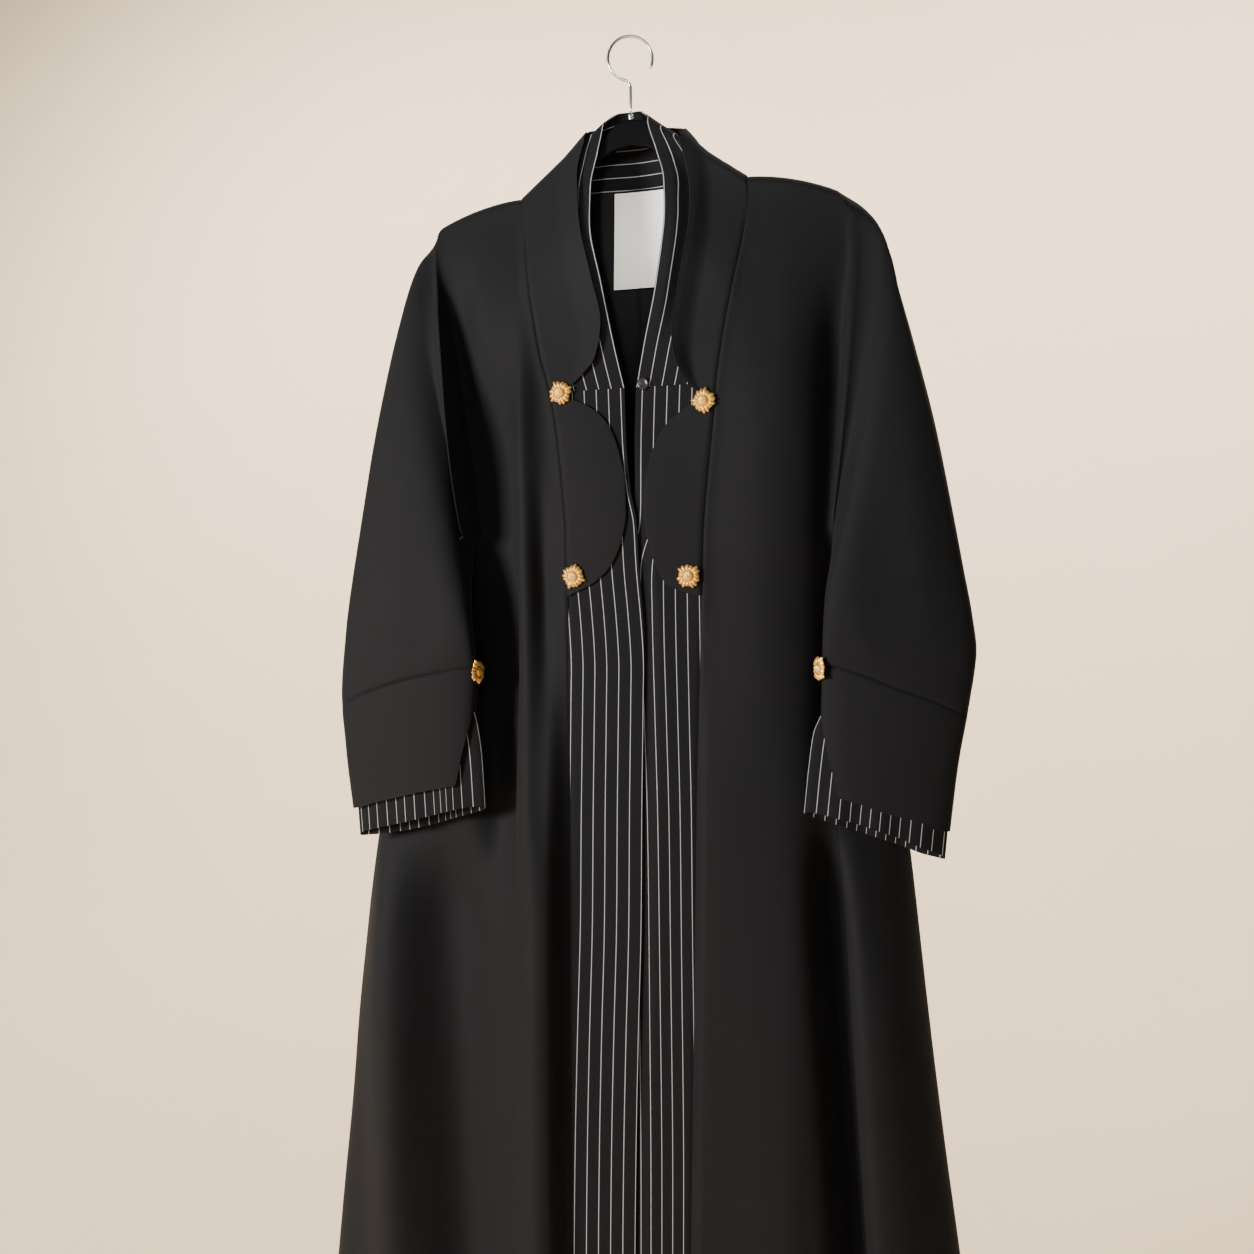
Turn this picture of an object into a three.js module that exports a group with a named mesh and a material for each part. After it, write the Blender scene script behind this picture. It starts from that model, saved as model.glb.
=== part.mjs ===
// An open-fronted abaya hanging flat on a slim shoulder hanger.
//
// Millimetres, +Z up, the front of the garment faces -Y. The origin is the inside top of the hanger's
// hook, where a rail carries it. Right and left are the wearer's, so the right side lies on -X.
//
// Each layer of cloth is a wall round a middle surface. The fronts, the centre insets and the front of
// the neck band are cut from one front surface, y = -depth(x, z), and the backs from one back surface,
// so their edges meet 0.3 mm apart. Lapels and scallops are made from points of the surface they lie
// on, moved out. Sleeves and cuffs are tubes between an outer and an inner fold.
import * as THREE from "three";

// ---- driving dimensions ---------------------------------------------------------------------------
const CLOTH = 1.6; // one layer of cloth
const SEAM_GAP = 0.3; // between two pieces at a seam
const LAYER = CLOTH + SEAM_GAP + 0.25; // from the middle of one layer to the middle of the next
const NECK_POINT_Z = -146; // shoulder seam at the neck
const SHOULDER_Z = -168; // shoulder seam at its tip
const UNDERARM_Z = -478; // foot of the armhole
const CROSS_SEAM_Z = -341; // neck band to centre insets
const HEM_Z = -1544;
const HEM_RISE = 8; // the hem's curve up towards the side seams
const BACK_NECK = { z: -135, drop: 11, depth: 36 }; // middle of the back neck seam
const COLLAR_TOP = { z: -67, y: 12 }; // middle of the band's top edge at the back
const CREST_RADIUS = 7; // cloth rounding over the hanger's arms
const DRAPE_LENGTH = 120; // below the crest, where the body reaches its full depth
const TIP_EASE = 0.4; // the sleeve's extra clearance at the tip of the shoulder
const UNDERARM_EASE = 3.4; // and at the underarm, where four edges meet
const ARMHOLE_DEPTH = 14; // half the armhole's opening, front to back
const RIGHT = { name: "right", x: -1 };
const LEFT = { name: "left", x: 1 };
const SIDES = [RIGHT, LEFT];

// ---- short tables ---------------------------------------------------------------------------------
// Distances right and left are from the middle line, x = 0, out to each side.
const FRONT_SEAM = {
  columns: ["z", "right", "left"],
  rows: [
    [-146, 110, 112],
    [-171, 107, 115],
    [-210, 102, 110],
    [-256, 95, 101.5],
    [-305, 86.5, 93],
    [-348, 75.6, 87],
    [-370, 72, 85],
    [-428, 66, 78.4],
    [-482, 62.8, 73.2],
    [-581, 62.8, 69.3],
    [-735, 61.4, 64.8],
    [-930, 61, 61.6],
    [-1175, 60.5, 56.8],
    [-1552, 60, 52],
  ],
};
const NECK_EDGE = {
  columns: ["z", "right", "left"],
  rows: [
    [-78, 25, 17],
    [-86, 26, 18],
    [-112, 31, 26],
    [-142, 36, 34.5],
    [-180, 35, 37],
    [-238, 24, 30],
    [-300, 11.5, 17],
    [-341, 2, 9],
  ],
};
// The centre edges of the insets below the cross seam, measured towards the wearer's left.
const INSET_EDGE = {
  columns: ["z", "right", "left"],
  rows: [
    [-341, -2, 9],
    [-390, -1, 7],
    [-438, 3, 6],
    [-472, 9, 4],
    [-510, 10.5, -6],
    [-581, 13.3, -12],
    [-930, 10, -14],
    [-1060, 5, -12],
    [-1175, 1.5, -10],
    [-1552, 0, -10],
  ],
};
const ARMHOLE = {
  columns: ["z", "right", "left"],
  rows: [
    [-168, 200, 200],
    [-190, 202.5, 209],
    [-240, 198.5, 211.5],
    [-306, 191, 208.5],
    [-384, 185.5, 203],
    [-478, 179, 193],
  ],
};
const SIDE_SEAM = {
  columns: ["z", "right", "left"],
  rows: [
    [-478, 179, 193],
    [-498, 183, 197],
    [-520, 193, 204],
    [-560, 213, 216],
    [-600, 232, 229],
    [-700, 262, 250],
    [-790, 278, 262],
    [-930, 296, 278],
    [-1050, 309, 291],
    [-1160, 321, 303],
    [-1552, 362, 345],
  ],
};
// Depths of the hanging body from its middle plane, how square its section is, and how far the side
// seam lies behind that plane, where the sleeves hang in front of it.
const BODY = {
  columns: ["z", "front", "back", "squareness", "setback"],
  rows: [
    [-60, 26, 30, 2.6, 0],
    [-240, 26, 31, 2.5, 0],
    [-380, 26, 31, 2.1, 0],
    [-478, 27, 30, 1.7, 0],
    [-498, 27, 30, 1.6, 11],
    [-520, 27, 30, 1.5, 19],
    [-640, 29, 31, 1.6, 22],
    [-770, 32, 34, 1.8, 18],
    [-1000, 38, 40, 2.1, 2],
    [-1552, 48, 50, 2.2, 0],
  ],
};
// Hanging folds: where each one runs, its half width, how far it stands out (or in), and its ends.
const FRONT_FOLDS = {
  columns: ["side", "xTop", "xBottom", "width", "out", "zTop", "zBottom"],
  rows: [
    ["right", 117, 108, 15, 12, -240, -880],
    ["right", 141, 140, 14, -14, -250, -860],
    ["right", 101, 97, 20, 19, -740, -1700],
    ["right", 184, 176, 27, -18, -760, -1700],
    ["right", 250, 288, 25, 16, -760, -1700],
    ["left", 86, 96, 30, 11, -380, -1700],
    ["left", 176, 186, 17, -13, -250, -900],
    ["left", 188, 198, 18, -24, -800, -1700],
    ["left", 214, 240, 15, 15, -800, -1700],
  ],
};
const BACK_FOLDS = {
  columns: ["side", "xTop", "xBottom", "width", "out", "zTop", "zBottom"],
  rows: [
    ["right", 66, 82, 26, 9, -480, -1700],
    ["right", 140, 168, 24, -13, -340, -1700],
    ["right", 222, 258, 24, 13, -640, -1700],
    ["left", 46, 58, 22, -8, -320, -1700],
    ["left", 112, 140, 27, 12, -420, -1700],
    ["left", 188, 226, 22, -14, -640, -1700],
  ],
};
// The lapels' inner edges: for a row that starts on the front seam at z, the edge's own place.
const LAPEL_EDGE = {
  columns: ["z", "xRight", "zRight", "xLeft", "zLeft"],
  rows: [
    [-146, 41, -91, 51, -98],
    [-153, 43, -99.8, 49, -108],
    [-172, 47, -124, 53, -129],
    [-200, 46, -150, 59.5, -158],
    [-235, 42, -190, 59.5, -197],
    [-270, 32, -238, 54, -244],
    [-300, 24.5, -276, 48, -286],
    [-322, 28, -306, 50, -316],
    [-336, 41, -324, 59, -337],
    [-343, 62, -341, 74, -354],
  ],
};
const LAPEL_FOOT_DROP = { right: 0, left: 14 }; // how much lower the left lapel ends
const SCALLOP_EDGE = {
  columns: ["z", "right", "left"],
  rows: [
    [-348, 57, 70],
    [-357, 38, 66],
    [-366, 26, 54],
    [-378, 17, 39],
    [-403, 7.5, 25],
    [-432, 2, 18],
    [-460, 1.6, 16.6],
    [-485, 6, 19.5],
    [-508, 16, 26],
    [-524, 32, 34],
    [-531, 45, 42],
    [-537, 58, 58],
    [-539, 60, 68],
  ],
};
const SCALLOP_ENDS = { right: [-347.5, -538], left: [-361, -539] };
const SLEEVE_OUTER = {
  columns: ["z", "right", "left"],
  rows: [
    [-168, 200, 200],
    [-184, 207, 217],
    [-200, 218, 231],
    [-220, 228, 242],
    [-250, 239, 250],
    [-306, 256, 264],
    [-385, 275, 283],
    [-455, 288, 296.5],
    [-540, 301, 315],
    [-592, 307, 324],
    [-648, 308, 323],
    [-755, 298, 311],
  ],
};
const SLEEVE_INNER = {
  columns: ["z", "right", "left"],
  rows: [
    [-478, 179, 193],
    [-500, 180, 193],
    [-541, 169, 189],
    [-607, 156, 186],
    [-655, 156, 184],
  ],
};
// The cuff's seam and edges go by the share of the way from the outer fold (0) to the inner fold (1).
const CUFF_SEAM = {
  columns: ["share", "right", "left"],
  rows: [
    [0, -648, -650],
    [0.14, -638, -641],
    [0.28, -630, -633],
    [0.5, -620, -623],
    [0.72, -613, -612],
    [0.87, -609, -606],
    [1, -607, -603],
  ],
};
const CUFF_HEM = {
  columns: ["share", "right", "left"],
  rows: [
    [0, -749, -754],
    [0.07, -746, -752],
    [0.27, -740, -746],
    [0.49, -731, -737],
    [0.655, -724, -727],
    [0.794, -714, -719],
    [0.905, -676, -704],
    [0.976, -657, -672],
    [1, -651, -650],
  ],
};
const UNDER_CUFF_HEM = {
  columns: ["share", "right", "left"],
  rows: [
    [0, -779, -779],
    [0.18, -775, -773],
    [0.33, -771, -766],
    [0.58, -762, -756],
    [0.79, -753, -748],
    [1, -745, -740],
  ],
};
const UNDER_CUFF_INNER = {
  columns: ["z", "right", "left"],
  rows: [
    [-600, 164, 194],
    [-640, 162, 190],
    [-683, 154, 176.5],
    [-750, 147.5, 167.5],
  ],
};
const UNDER_CUFF_OUTER = { top: { right: 295, left: 309 }, hem: { right: 287, left: 295 } };
const TUBE_DEPTH = {
  columns: ["share", "sleeve"],
  rows: [
    [0, ARMHOLE_DEPTH],
    [0.35, 22],
    [0.7, 18],
    [1, 15],
  ],
};

// ---- curves and surfaces --------------------------------------------------------------------------
const lerp = THREE.MathUtils.lerp;
const ramp = (value, from, to) => THREE.MathUtils.smoothstep(value, from, to);
const range = (count) => Array.from({ length: count }, (_, index) => index);

// A smooth curve through a table's rows: cubic pieces whose slopes never overshoot the rows.
function curveOf(table, name) {
  const column = table.columns.indexOf(name);
  const rows = [...table.rows].sort((one, other) => one[0] - other[0]);
  const at = rows.map((row) => row[0]);
  const value = rows.map((row) => row[column]);
  const last = at.length - 1;
  const secant = range(last).map((i) => (value[i + 1] - value[i]) / (at[i + 1] - at[i]));
  const slope = at.map((_, i) => {
    const before = secant[Math.max(i - 1, 0)];
    const after = secant[Math.min(i, last - 1)];
    return before * after <= 0 ? 0 : (2 * before * after) / (before + after);
  });
  return (key) => {
    if (key <= at[0]) return value[0];
    if (key >= at[last]) return value[last];
    const i = at.findIndex((start, k) => key >= start && key < at[k + 1]);
    const span = at[i + 1] - at[i];
    const t = (key - at[i]) / span;
    const rise = value[i + 1] - value[i] - span * slope[i];
    const bend = span * (slope[i] + slope[i + 1]) - 2 * (value[i + 1] - value[i]);
    return value[i] + span * slope[i] * t + (rise - bend) * t * t + bend * t * t * t;
  };
}

// One curve for each named column of a table.
function curvesOf(table) {
  return Object.fromEntries(table.columns.slice(1).map((name) => [name, curveOf(table, name)]));
}

const frontSeam = curvesOf(FRONT_SEAM);
const neckEdge = curvesOf(NECK_EDGE);
const insetEdge = curvesOf(INSET_EDGE);
const armhole = curvesOf(ARMHOLE);
const sideSeam = curvesOf(SIDE_SEAM);
const body = curvesOf(BODY);
const lapelEdge = curvesOf(LAPEL_EDGE);
const scallopEdge = curvesOf(SCALLOP_EDGE);
const sleeveOuter = curvesOf(SLEEVE_OUTER);
const sleeveInner = curvesOf(SLEEVE_INNER);
const cuffSeam = curvesOf(CUFF_SEAM);
const cuffHem = curvesOf(CUFF_HEM);
const underCuffHem = curvesOf(UNDER_CUFF_HEM);
const underCuffInner = curvesOf(UNDER_CUFF_INNER);
const tubeDepth = curvesOf(TUBE_DEPTH);

const sideOf = (x) => (x < 0 ? RIGHT : LEFT);
const outerEdge = (side, z) =>
  z > UNDERARM_Z ? armhole[side.name](z) : sideSeam[side.name](z);

// Section of a flat tube: 0 at the folds, 1 in the middle, for a share across of 0 to 1.
const tubeRound = (share, fullness = 0.42) => Math.pow(Math.max(4 * share * (1 - share), 0), fullness);

// Height of the line that the cloth folds over: the shoulder seam, then up the collar's side fold.
function crestHeight(x) {
  const side = sideOf(x);
  const out = Math.abs(x);
  const neck = frontSeam[side.name](NECK_POINT_Z);
  const shoulder = armhole[side.name](SHOULDER_Z);
  const edge = neckEdge[side.name](-78);
  return out > neck
    ? lerp(NECK_POINT_Z, SHOULDER_Z, (out - neck) / (shoulder - neck))
    : lerp(NECK_POINT_Z, -78, (neck - out) / (neck - edge));
}

// Sum of the hanging folds at a place: each one is a soft ridge or trough that fades at its ends.
function foldsAt(folds, side, out, z) {
  return folds.rows
    .filter(([name]) => name === side.name)
    .reduce((sum, [, xTop, xBottom, width, rise, zTop, zBottom]) => {
      const along = (z - zTop) / (zBottom - zTop);
      const middle = lerp(xTop, xBottom, along);
      const ends = ramp(-z, -zTop, -zTop + 130) * ramp(z, zBottom, zBottom + 130);
      return sum + rise * ends * Math.exp(-(((out - middle) / width) ** 2));
    }, 0);
}

// Half section of the body: full depth in the middle, closing to `edge` at the outer edge.
function sectionDepth(full, edge, share, squareness) {
  const closing = Math.pow(Math.max(1 - Math.pow(Math.min(share, 1), squareness), 0), 1 / squareness);
  return edge + (full - edge) * closing;
}

// Quarter round over the hanger's arm, for a drop below the crest: 0 at the crest, 1 below it.
function crestRound(drop) {
  const left = 1 - Math.min(Math.max(drop, 0) / CREST_RADIUS, 1);
  return Math.sqrt(1 - left * left);
}

function armholeDepth(z) {
  const share = (SHOULDER_Z - z) / (SHOULDER_Z - UNDERARM_Z);
  return share > 0 && share < 1 ? ARMHOLE_DEPTH * tubeRound(share) : 0;
}

// Cloth in front of (or behind) the middle plane: rounded over the crest, then draping to its depth.
function drapedDepth(depth, drop) {
  const crest = Math.min(depth, CREST_RADIUS) * crestRound(drop);
  return crest + Math.max(depth - CREST_RADIUS, 0) * ramp(drop, 0, DRAPE_LENGTH);
}

function setbackAt(z, share) {
  return body.setback(z) * share * share;
}

function frontPoint(x, z) {
  const side = sideOf(x);
  const share = Math.abs(x) / outerEdge(side, z);
  const drop = crestHeight(x) - z;
  const depth = sectionDepth(body.front(z), armholeDepth(z), share, body.squareness(z));
  const room = (1 - Math.min(share, 1) ** 6) * ramp(drop, 20, 140);
  const folds = foldsAt(FRONT_FOLDS, side, Math.abs(x), z) * room;
  return new THREE.Vector3(x, setbackAt(z, share) - drapedDepth(depth, drop) - folds, z);
}

// Height of the back panels' top edge: the neck seam, then the shoulder seam.
function backTop(x) {
  const side = sideOf(x);
  const neck = frontSeam[side.name](NECK_POINT_Z);
  const share = Math.abs(x) / neck;
  return share < 1 ? BACK_NECK.z - BACK_NECK.drop * share * share : crestHeight(x);
}

function backNeckDepth(x) {
  const neck = frontSeam[sideOf(x).name](NECK_POINT_Z);
  return BACK_NECK.depth * Math.pow(Math.max(1 - (x / neck) ** 2, 0), 0.6);
}

function backPoint(x, z) {
  const side = sideOf(x);
  const share = Math.abs(x) / outerEdge(side, z);
  const drop = backTop(x) - z;
  const depth = sectionDepth(body.back(z), armholeDepth(z), share, body.squareness(z));
  const overArm = ramp(Math.abs(x), 70, 110);
  const hanging = ramp(drop, 0, DRAPE_LENGTH);
  const draped = lerp(depth * hanging, drapedDepth(depth, drop), overArm);
  const room = (1 - Math.min(share, 1) ** 6) * ramp(drop, 20, 140);
  const folds = foldsAt(BACK_FOLDS, side, Math.abs(x), z) * room;
  const neck = backNeckDepth(x) * (1 - hanging);
  return new THREE.Vector3(x, setbackAt(z, share) + neck + draped + folds, z);
}

// The collar behind the neck: straight from the back neck seam up to the band's top edge.
// `turn` goes from the centre back (0) to the side fold (1), `up` from the seam to the edge.
function backCollarPoint(side, turn, up) {
  const neck = frontSeam[side.name](NECK_POINT_Z);
  const edge = neckEdge[side.name](-78);
  const out = neck * Math.sin((turn * Math.PI) / 2);
  const seam = backPoint(side.x * out, backTop(side.x * out));
  const topX = lerp((edge - neckEdge[otherSide(side).name](-78)) / 2, edge, turn);
  const topY = COLLAR_TOP.y * Math.cos((turn * Math.PI) / 2);
  const top = new THREE.Vector3(side.x * topX, topY, lerp(COLLAR_TOP.z, -78, turn ** 3));
  return seam.lerp(top, up);
}

function otherSide(side) {
  return side === RIGHT ? LEFT : RIGHT;
}

// ---- cloth panels ---------------------------------------------------------------------------------
// A panel is a grid of middle points. `outward` is a rough direction out of the garment.
const FRONTWARD = new THREE.Vector3(0, -1, 0);
const BACKWARD = new THREE.Vector3(0, 1, 0);
const CREST_UP = new THREE.Vector3(0, 0, 1);
const keyOf = (point) => point.toArray().map((value) => Math.round(value * 100)).join();

function makePanel(name, grid, outward, { ring = false, wall = CLOTH, trim = SEAM_GAP * 0.7, ease } = {}) {
  const lastRow = grid.length - 1;
  const columns = grid[0].length;
  const normals = grid.map((row, i) =>
    row.map((_, j) => {
      const above = grid[Math.max(i - 1, 0)][j];
      const below = grid[Math.min(i + 1, lastRow)][j];
      const before = row[ring ? (j + columns - 1) % columns : Math.max(j - 1, 0)];
      const after = row[ring ? (j + 1) % columns : Math.min(j + 1, columns - 1)];
      return below.clone().sub(above).cross(after.clone().sub(before)).normalize();
    }),
  );
  const probe = normals[grid.length >> 1][ring ? columns >> 2 : columns >> 1];
  const turn = probe.dot(outward) < 0 ? -1 : 1;
  normals.flat().forEach((normal) => normal.multiplyScalar(turn));
  return { name, grid, normals, turn, ring, wall, trim, ease: ease ?? grid[0].map(() => 0) };
}

// Neighbours get one normal at each shared point, so their walls meet edge to edge.
function shareNormals(panels, crestPoints) {
  const sums = new Map();
  const add = (key, normal) => sums.set(key, (sums.get(key) ?? new THREE.Vector3()).add(normal));
  for (const { grid, normals } of panels)
    grid.forEach((row, i) => row.forEach((point, j) => add(keyOf(point), normals[i][j])));
  crestPoints.forEach(({ point, normal }) => sums.set(keyOf(point), normal.clone()));
  for (const { grid, normals } of panels)
    grid.forEach((row, i) =>
      row.forEach((point, j) => normals[i][j].copy(sums.get(keyOf(point))).normalize()),
    );
}

// Pulls a panel's border in, by half a seam gap or a little more, and its top row by the ease too.
function trimmedGrid({ grid, ring, trim, ease }) {
  const lastRow = grid.length - 1;
  const lastColumn = grid[0].length - 1;
  const step = (from, to, extra = 0) => to.clone().sub(from).setLength(trim + extra);
  return grid.map((row, i) =>
    row.map((point, j) => {
      const moved = point.clone();
      if (i === 0) moved.add(step(point, grid[1][j], ease[j]));
      if (i === lastRow) moved.add(step(point, grid[lastRow - 1][j]));
      if (!ring && j === 0) moved.add(step(point, row[1]));
      if (!ring && j === lastColumn) moved.add(step(point, row[lastColumn - 1]));
      return moved;
    }),
  );
}

// The panel moved out by a distance along its normals, as the piece that lies on it.
function movedOut(panel, distance) {
  const grid = panel.grid.map((row, i) =>
    row.map((point, j) => point.clone().addScaledVector(panel.normals[i][j], distance)),
  );
  return { ...panel, grid };
}

// Closed wall round a panel's middle grid: outer face, inner face and a strip along each border.
function wallGeometry(panel) {
  const { normals, turn, ring, wall } = panel;
  const grid = trimmedGrid(panel);
  const rows = grid.length;
  const columns = grid[0].length;
  const positions = [wall / 2, -wall / 2].flatMap((offset) =>
    grid.flatMap((row, i) =>
      row.flatMap((point, j) => point.clone().addScaledVector(normals[i][j], offset).toArray()),
    ),
  );
  const outer = (i, j) => i * columns + (j % columns);
  const inner = (i, j) => rows * columns + outer(i, j);
  const faces = [];
  const addFace = (a, b, c) => faces.push(...(turn > 0 ? [a, b, c] : [a, c, b]));
  const addQuad = (a, b, c, d) => {
    addFace(a, b, c);
    addFace(a, c, d);
  };
  const cells = ring ? columns : columns - 1;
  for (const i of range(rows - 1)) {
    for (const j of range(cells)) {
      addQuad(outer(i, j), outer(i + 1, j), outer(i + 1, j + 1), outer(i, j + 1));
      addQuad(inner(i, j), inner(i, j + 1), inner(i + 1, j + 1), inner(i + 1, j));
    }
    if (!ring) {
      const end = columns - 1;
      addQuad(inner(i, 0), inner(i + 1, 0), outer(i + 1, 0), outer(i, 0));
      addQuad(outer(i, end), outer(i + 1, end), inner(i + 1, end), inner(i, end));
    }
  }
  for (const j of range(cells)) {
    const end = rows - 1;
    addQuad(inner(0, j), outer(0, j), outer(0, j + 1), inner(0, j + 1));
    addQuad(outer(end, j), inner(end, j), inner(end, j + 1), outer(end, j + 1));
  }
  const geometry = new THREE.BufferGeometry();
  geometry.setAttribute("position", new THREE.Float32BufferAttribute(positions, 3));
  geometry.setIndex(faces);
  geometry.computeVertexNormals();
  return geometry;
}

// ---- rows shared by neighbouring panels -----------------------------------------------------------
const ARMHOLE_STEPS = 10;
const armholeShares = range(ARMHOLE_STEPS + 1).map(
  (step) => (1 - Math.cos((Math.PI * step) / ARMHOLE_STEPS)) / 2,
);
const bodyRows = [-498, -530, -575, -630, -700, -780, -865, -960, -1070, -1180, -1300, -1420, HEM_Z];
const seamRows = [-146, -153, -172, -200, -235, -280, CROSS_SEAM_Z, -385, -425, -455, -478];
const outerRows = armholeShares.map((share) => lerp(SHOULDER_Z, UNDERARM_Z, share)).concat(bodyRows);
const innerRows = seamRows.concat(bodyRows);
const centreBackRows = [BACK_NECK.z, BACK_NECK.z + outerRows[1] - outerRows[0]]
  .concat([-168, -204, -242, -284, -328, -372, -414, -450, UNDERARM_Z], bodyRows);
const bandRows = seamRows.slice(0, 7);
const FRONT_COLUMNS = 15;
const BACK_NECK_COLUMNS = 5;
const BACK_SHOULDER_COLUMNS = 7;

const hemRise = (x, z) => (z === HEM_Z ? HEM_RISE * (x / 350) ** 2 : 0);

function frontGrid(side) {
  return innerRows.map((zInner, i) => {
    const xInner = frontSeam[side.name](zInner);
    const zOuter = outerRows[i];
    const xOuter = outerEdge(side, zOuter);
    return range(FRONT_COLUMNS + 1).map((j) => {
      const share = j / FRONT_COLUMNS;
      const across = share * (1 + 0.25 * (1 - share));
      const x = side.x * lerp(xInner, xOuter, across);
      const z = lerp(zInner, zOuter, across);
      return frontPoint(x, z + hemRise(x, z));
    });
  });
}

function backGrid(side) {
  const neck = frontSeam[side.name](NECK_POINT_Z);
  const shoulder = armhole[side.name](SHOULDER_Z);
  const topX = range(BACK_NECK_COLUMNS)
    .map((j) => neck * Math.sin((j / BACK_NECK_COLUMNS) * (Math.PI / 2)))
    .concat(range(BACK_SHOULDER_COLUMNS + 1).map((j) => lerp(neck, shoulder, j / BACK_SHOULDER_COLUMNS)));
  return outerRows.map((zOuter, i) => {
    const zInner = centreBackRows[i];
    const fade = [1, 1, 0.7, 0.4, 0.15][i] ?? 0;
    return topX.map((x, j) => {
      const even = (outerEdge(side, zOuter) * j) / (topX.length - 1);
      const out = lerp(even, (x * outerEdge(side, zOuter)) / shoulder, fade);
      const straight = lerp(zInner, zOuter, out / outerEdge(side, zOuter));
      const bow = backTop(side.x * x) - lerp(BACK_NECK.z, SHOULDER_Z, x / shoulder);
      return backPoint(side.x * out, straight + bow * fade + hemRise(out, zOuter));
    });
  });
}

// Front of the neck band: from the front seam in to the neck edge.
const BAND_COLUMNS = 5;
const neckEdgeRows = [-78, -86, -112, -142, -180, -238, CROSS_SEAM_Z];

function bandFrontRow(side, row) {
  const zSeam = bandRows[row];
  const zEdge = neckEdgeRows[row];
  return range(BAND_COLUMNS + 1).map((j) => {
    const share = j / BAND_COLUMNS;
    const x = side.x * lerp(frontSeam[side.name](zSeam), neckEdge[side.name](zEdge), share);
    return frontPoint(x, lerp(zSeam, zEdge, share));
  });
}

function bandBackRow(side, step) {
  const turn = step / BACK_NECK_COLUMNS;
  return range(BAND_COLUMNS + 1).map((j) => backCollarPoint(side, turn, j / BAND_COLUMNS));
}

// The band runs from the right cross seam up over the shoulder, round the neck and down on the left.
function neckBandGrid() {
  const half = (side) =>
    range(bandRows.length)
      .map((row) => bandFrontRow(side, bandRows.length - 1 - row))
      .concat(range(BACK_NECK_COLUMNS - 1).map((step) => bandBackRow(side, BACK_NECK_COLUMNS - 1 - step)));
  return half(RIGHT).concat([bandBackRow(RIGHT, 0)], half(LEFT).reverse());
}

// The left inset slips behind the right one where they cross.
function insetGrid(side) {
  const rows = innerRows.slice(bandRows.length - 1);
  return rows.map((z) =>
    range(BAND_COLUMNS + 1).map((j) => {
      const edge = side === RIGHT ? insetEdge.right(z) : insetEdge.left(z);
      const share = j / BAND_COLUMNS;
      const x = lerp(side.x * frontSeam[side.name](z), edge, share);
      const point = frontPoint(x, z + hemRise(x, z));
      if (side === LEFT) {
        const under = ramp(-z, 380, 440);
        point.y += LAYER * 1.4 * under * ramp(insetEdge.right(z) + 16 - x, 0, 12);
      }
      return point;
    }),
  );
}

function lapelGrid(side) {
  const COLUMNS = 5;
  const foldEdge =
    side === RIGHT
      ? { x: lapelEdge.xRight, z: lapelEdge.zRight }
      : { x: lapelEdge.xLeft, z: lapelEdge.zLeft };
  const neck = frontSeam[side.name](NECK_POINT_Z);
  const bandTop = neckEdge[side.name](-78);
  const coverAtFold = (neck - foldEdge.x(NECK_POINT_Z)) / (neck - bandTop);
  const back = range(BACK_NECK_COLUMNS).map((step) => {
    const turn = step / BACK_NECK_COLUMNS;
    const cover = lerp(0.8, coverAtFold, turn * turn);
    return range(COLUMNS + 1).map((j) => backCollarPoint(side, turn, (cover * j) / COLUMNS));
  });
  const front = LAPEL_EDGE.rows.map(([z], row) => {
    const foot = ramp(-z, 235, 343) * LAPEL_FOOT_DROP[side.name];
    const zSeam = z - foot;
    return range(COLUMNS + 1).map((j) => {
      const x = side.x * lerp(frontSeam[side.name](zSeam), foldEdge.x(z), j / COLUMNS);
      const height = row === 0 ? crestHeight(x) : lerp(zSeam, foldEdge.z(z), j / COLUMNS);
      return frontPoint(x, height);
    });
  });
  return back.concat(front);
}

function scallopGrid(side) {
  const ROWS = 11;
  const COLUMNS = 5;
  const [top, foot] = SCALLOP_ENDS[side.name];
  return range(ROWS + 1).map((i) => {
    const z = lerp(top, foot, (1 - Math.cos((Math.PI * i) / ROWS)) / 2);
    const seam = frontSeam[side.name](z) - SEAM_GAP;
    const edge = Math.min(scallopEdge[side.name](z), seam - 4);
    return range(COLUMNS + 1).map((j) => frontPoint(side.x * lerp(seam, edge, j / COLUMNS), z));
  });
}

// ---- sleeves and cuffs ----------------------------------------------------------------------------
const SLEEVE_ROWS = 10;
const CUFF_ROWS = 4;
const WRIST_FORWARD = { outer: 28, inner: 38 }; // how far in front of the middle plane the wrist hangs
const CUFF_TUBE = { depth: 15, fullness: 0.36 };
const UNDER_CUFF_TUBE = { top: 8, hem: 9.5, fullness: 0.58, topDrop: 9, drawnIn: 2.4 };

// Shares and faces round a tube: down the front from the outer fold to the inner, back up behind.
const tubeSteps = armholeShares
  .map((share) => ({ share, face: -1 }))
  .concat(
    armholeShares
      .slice(1, -1)
      .reverse()
      .map((share) => ({ share, face: 1 })),
  );

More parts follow.
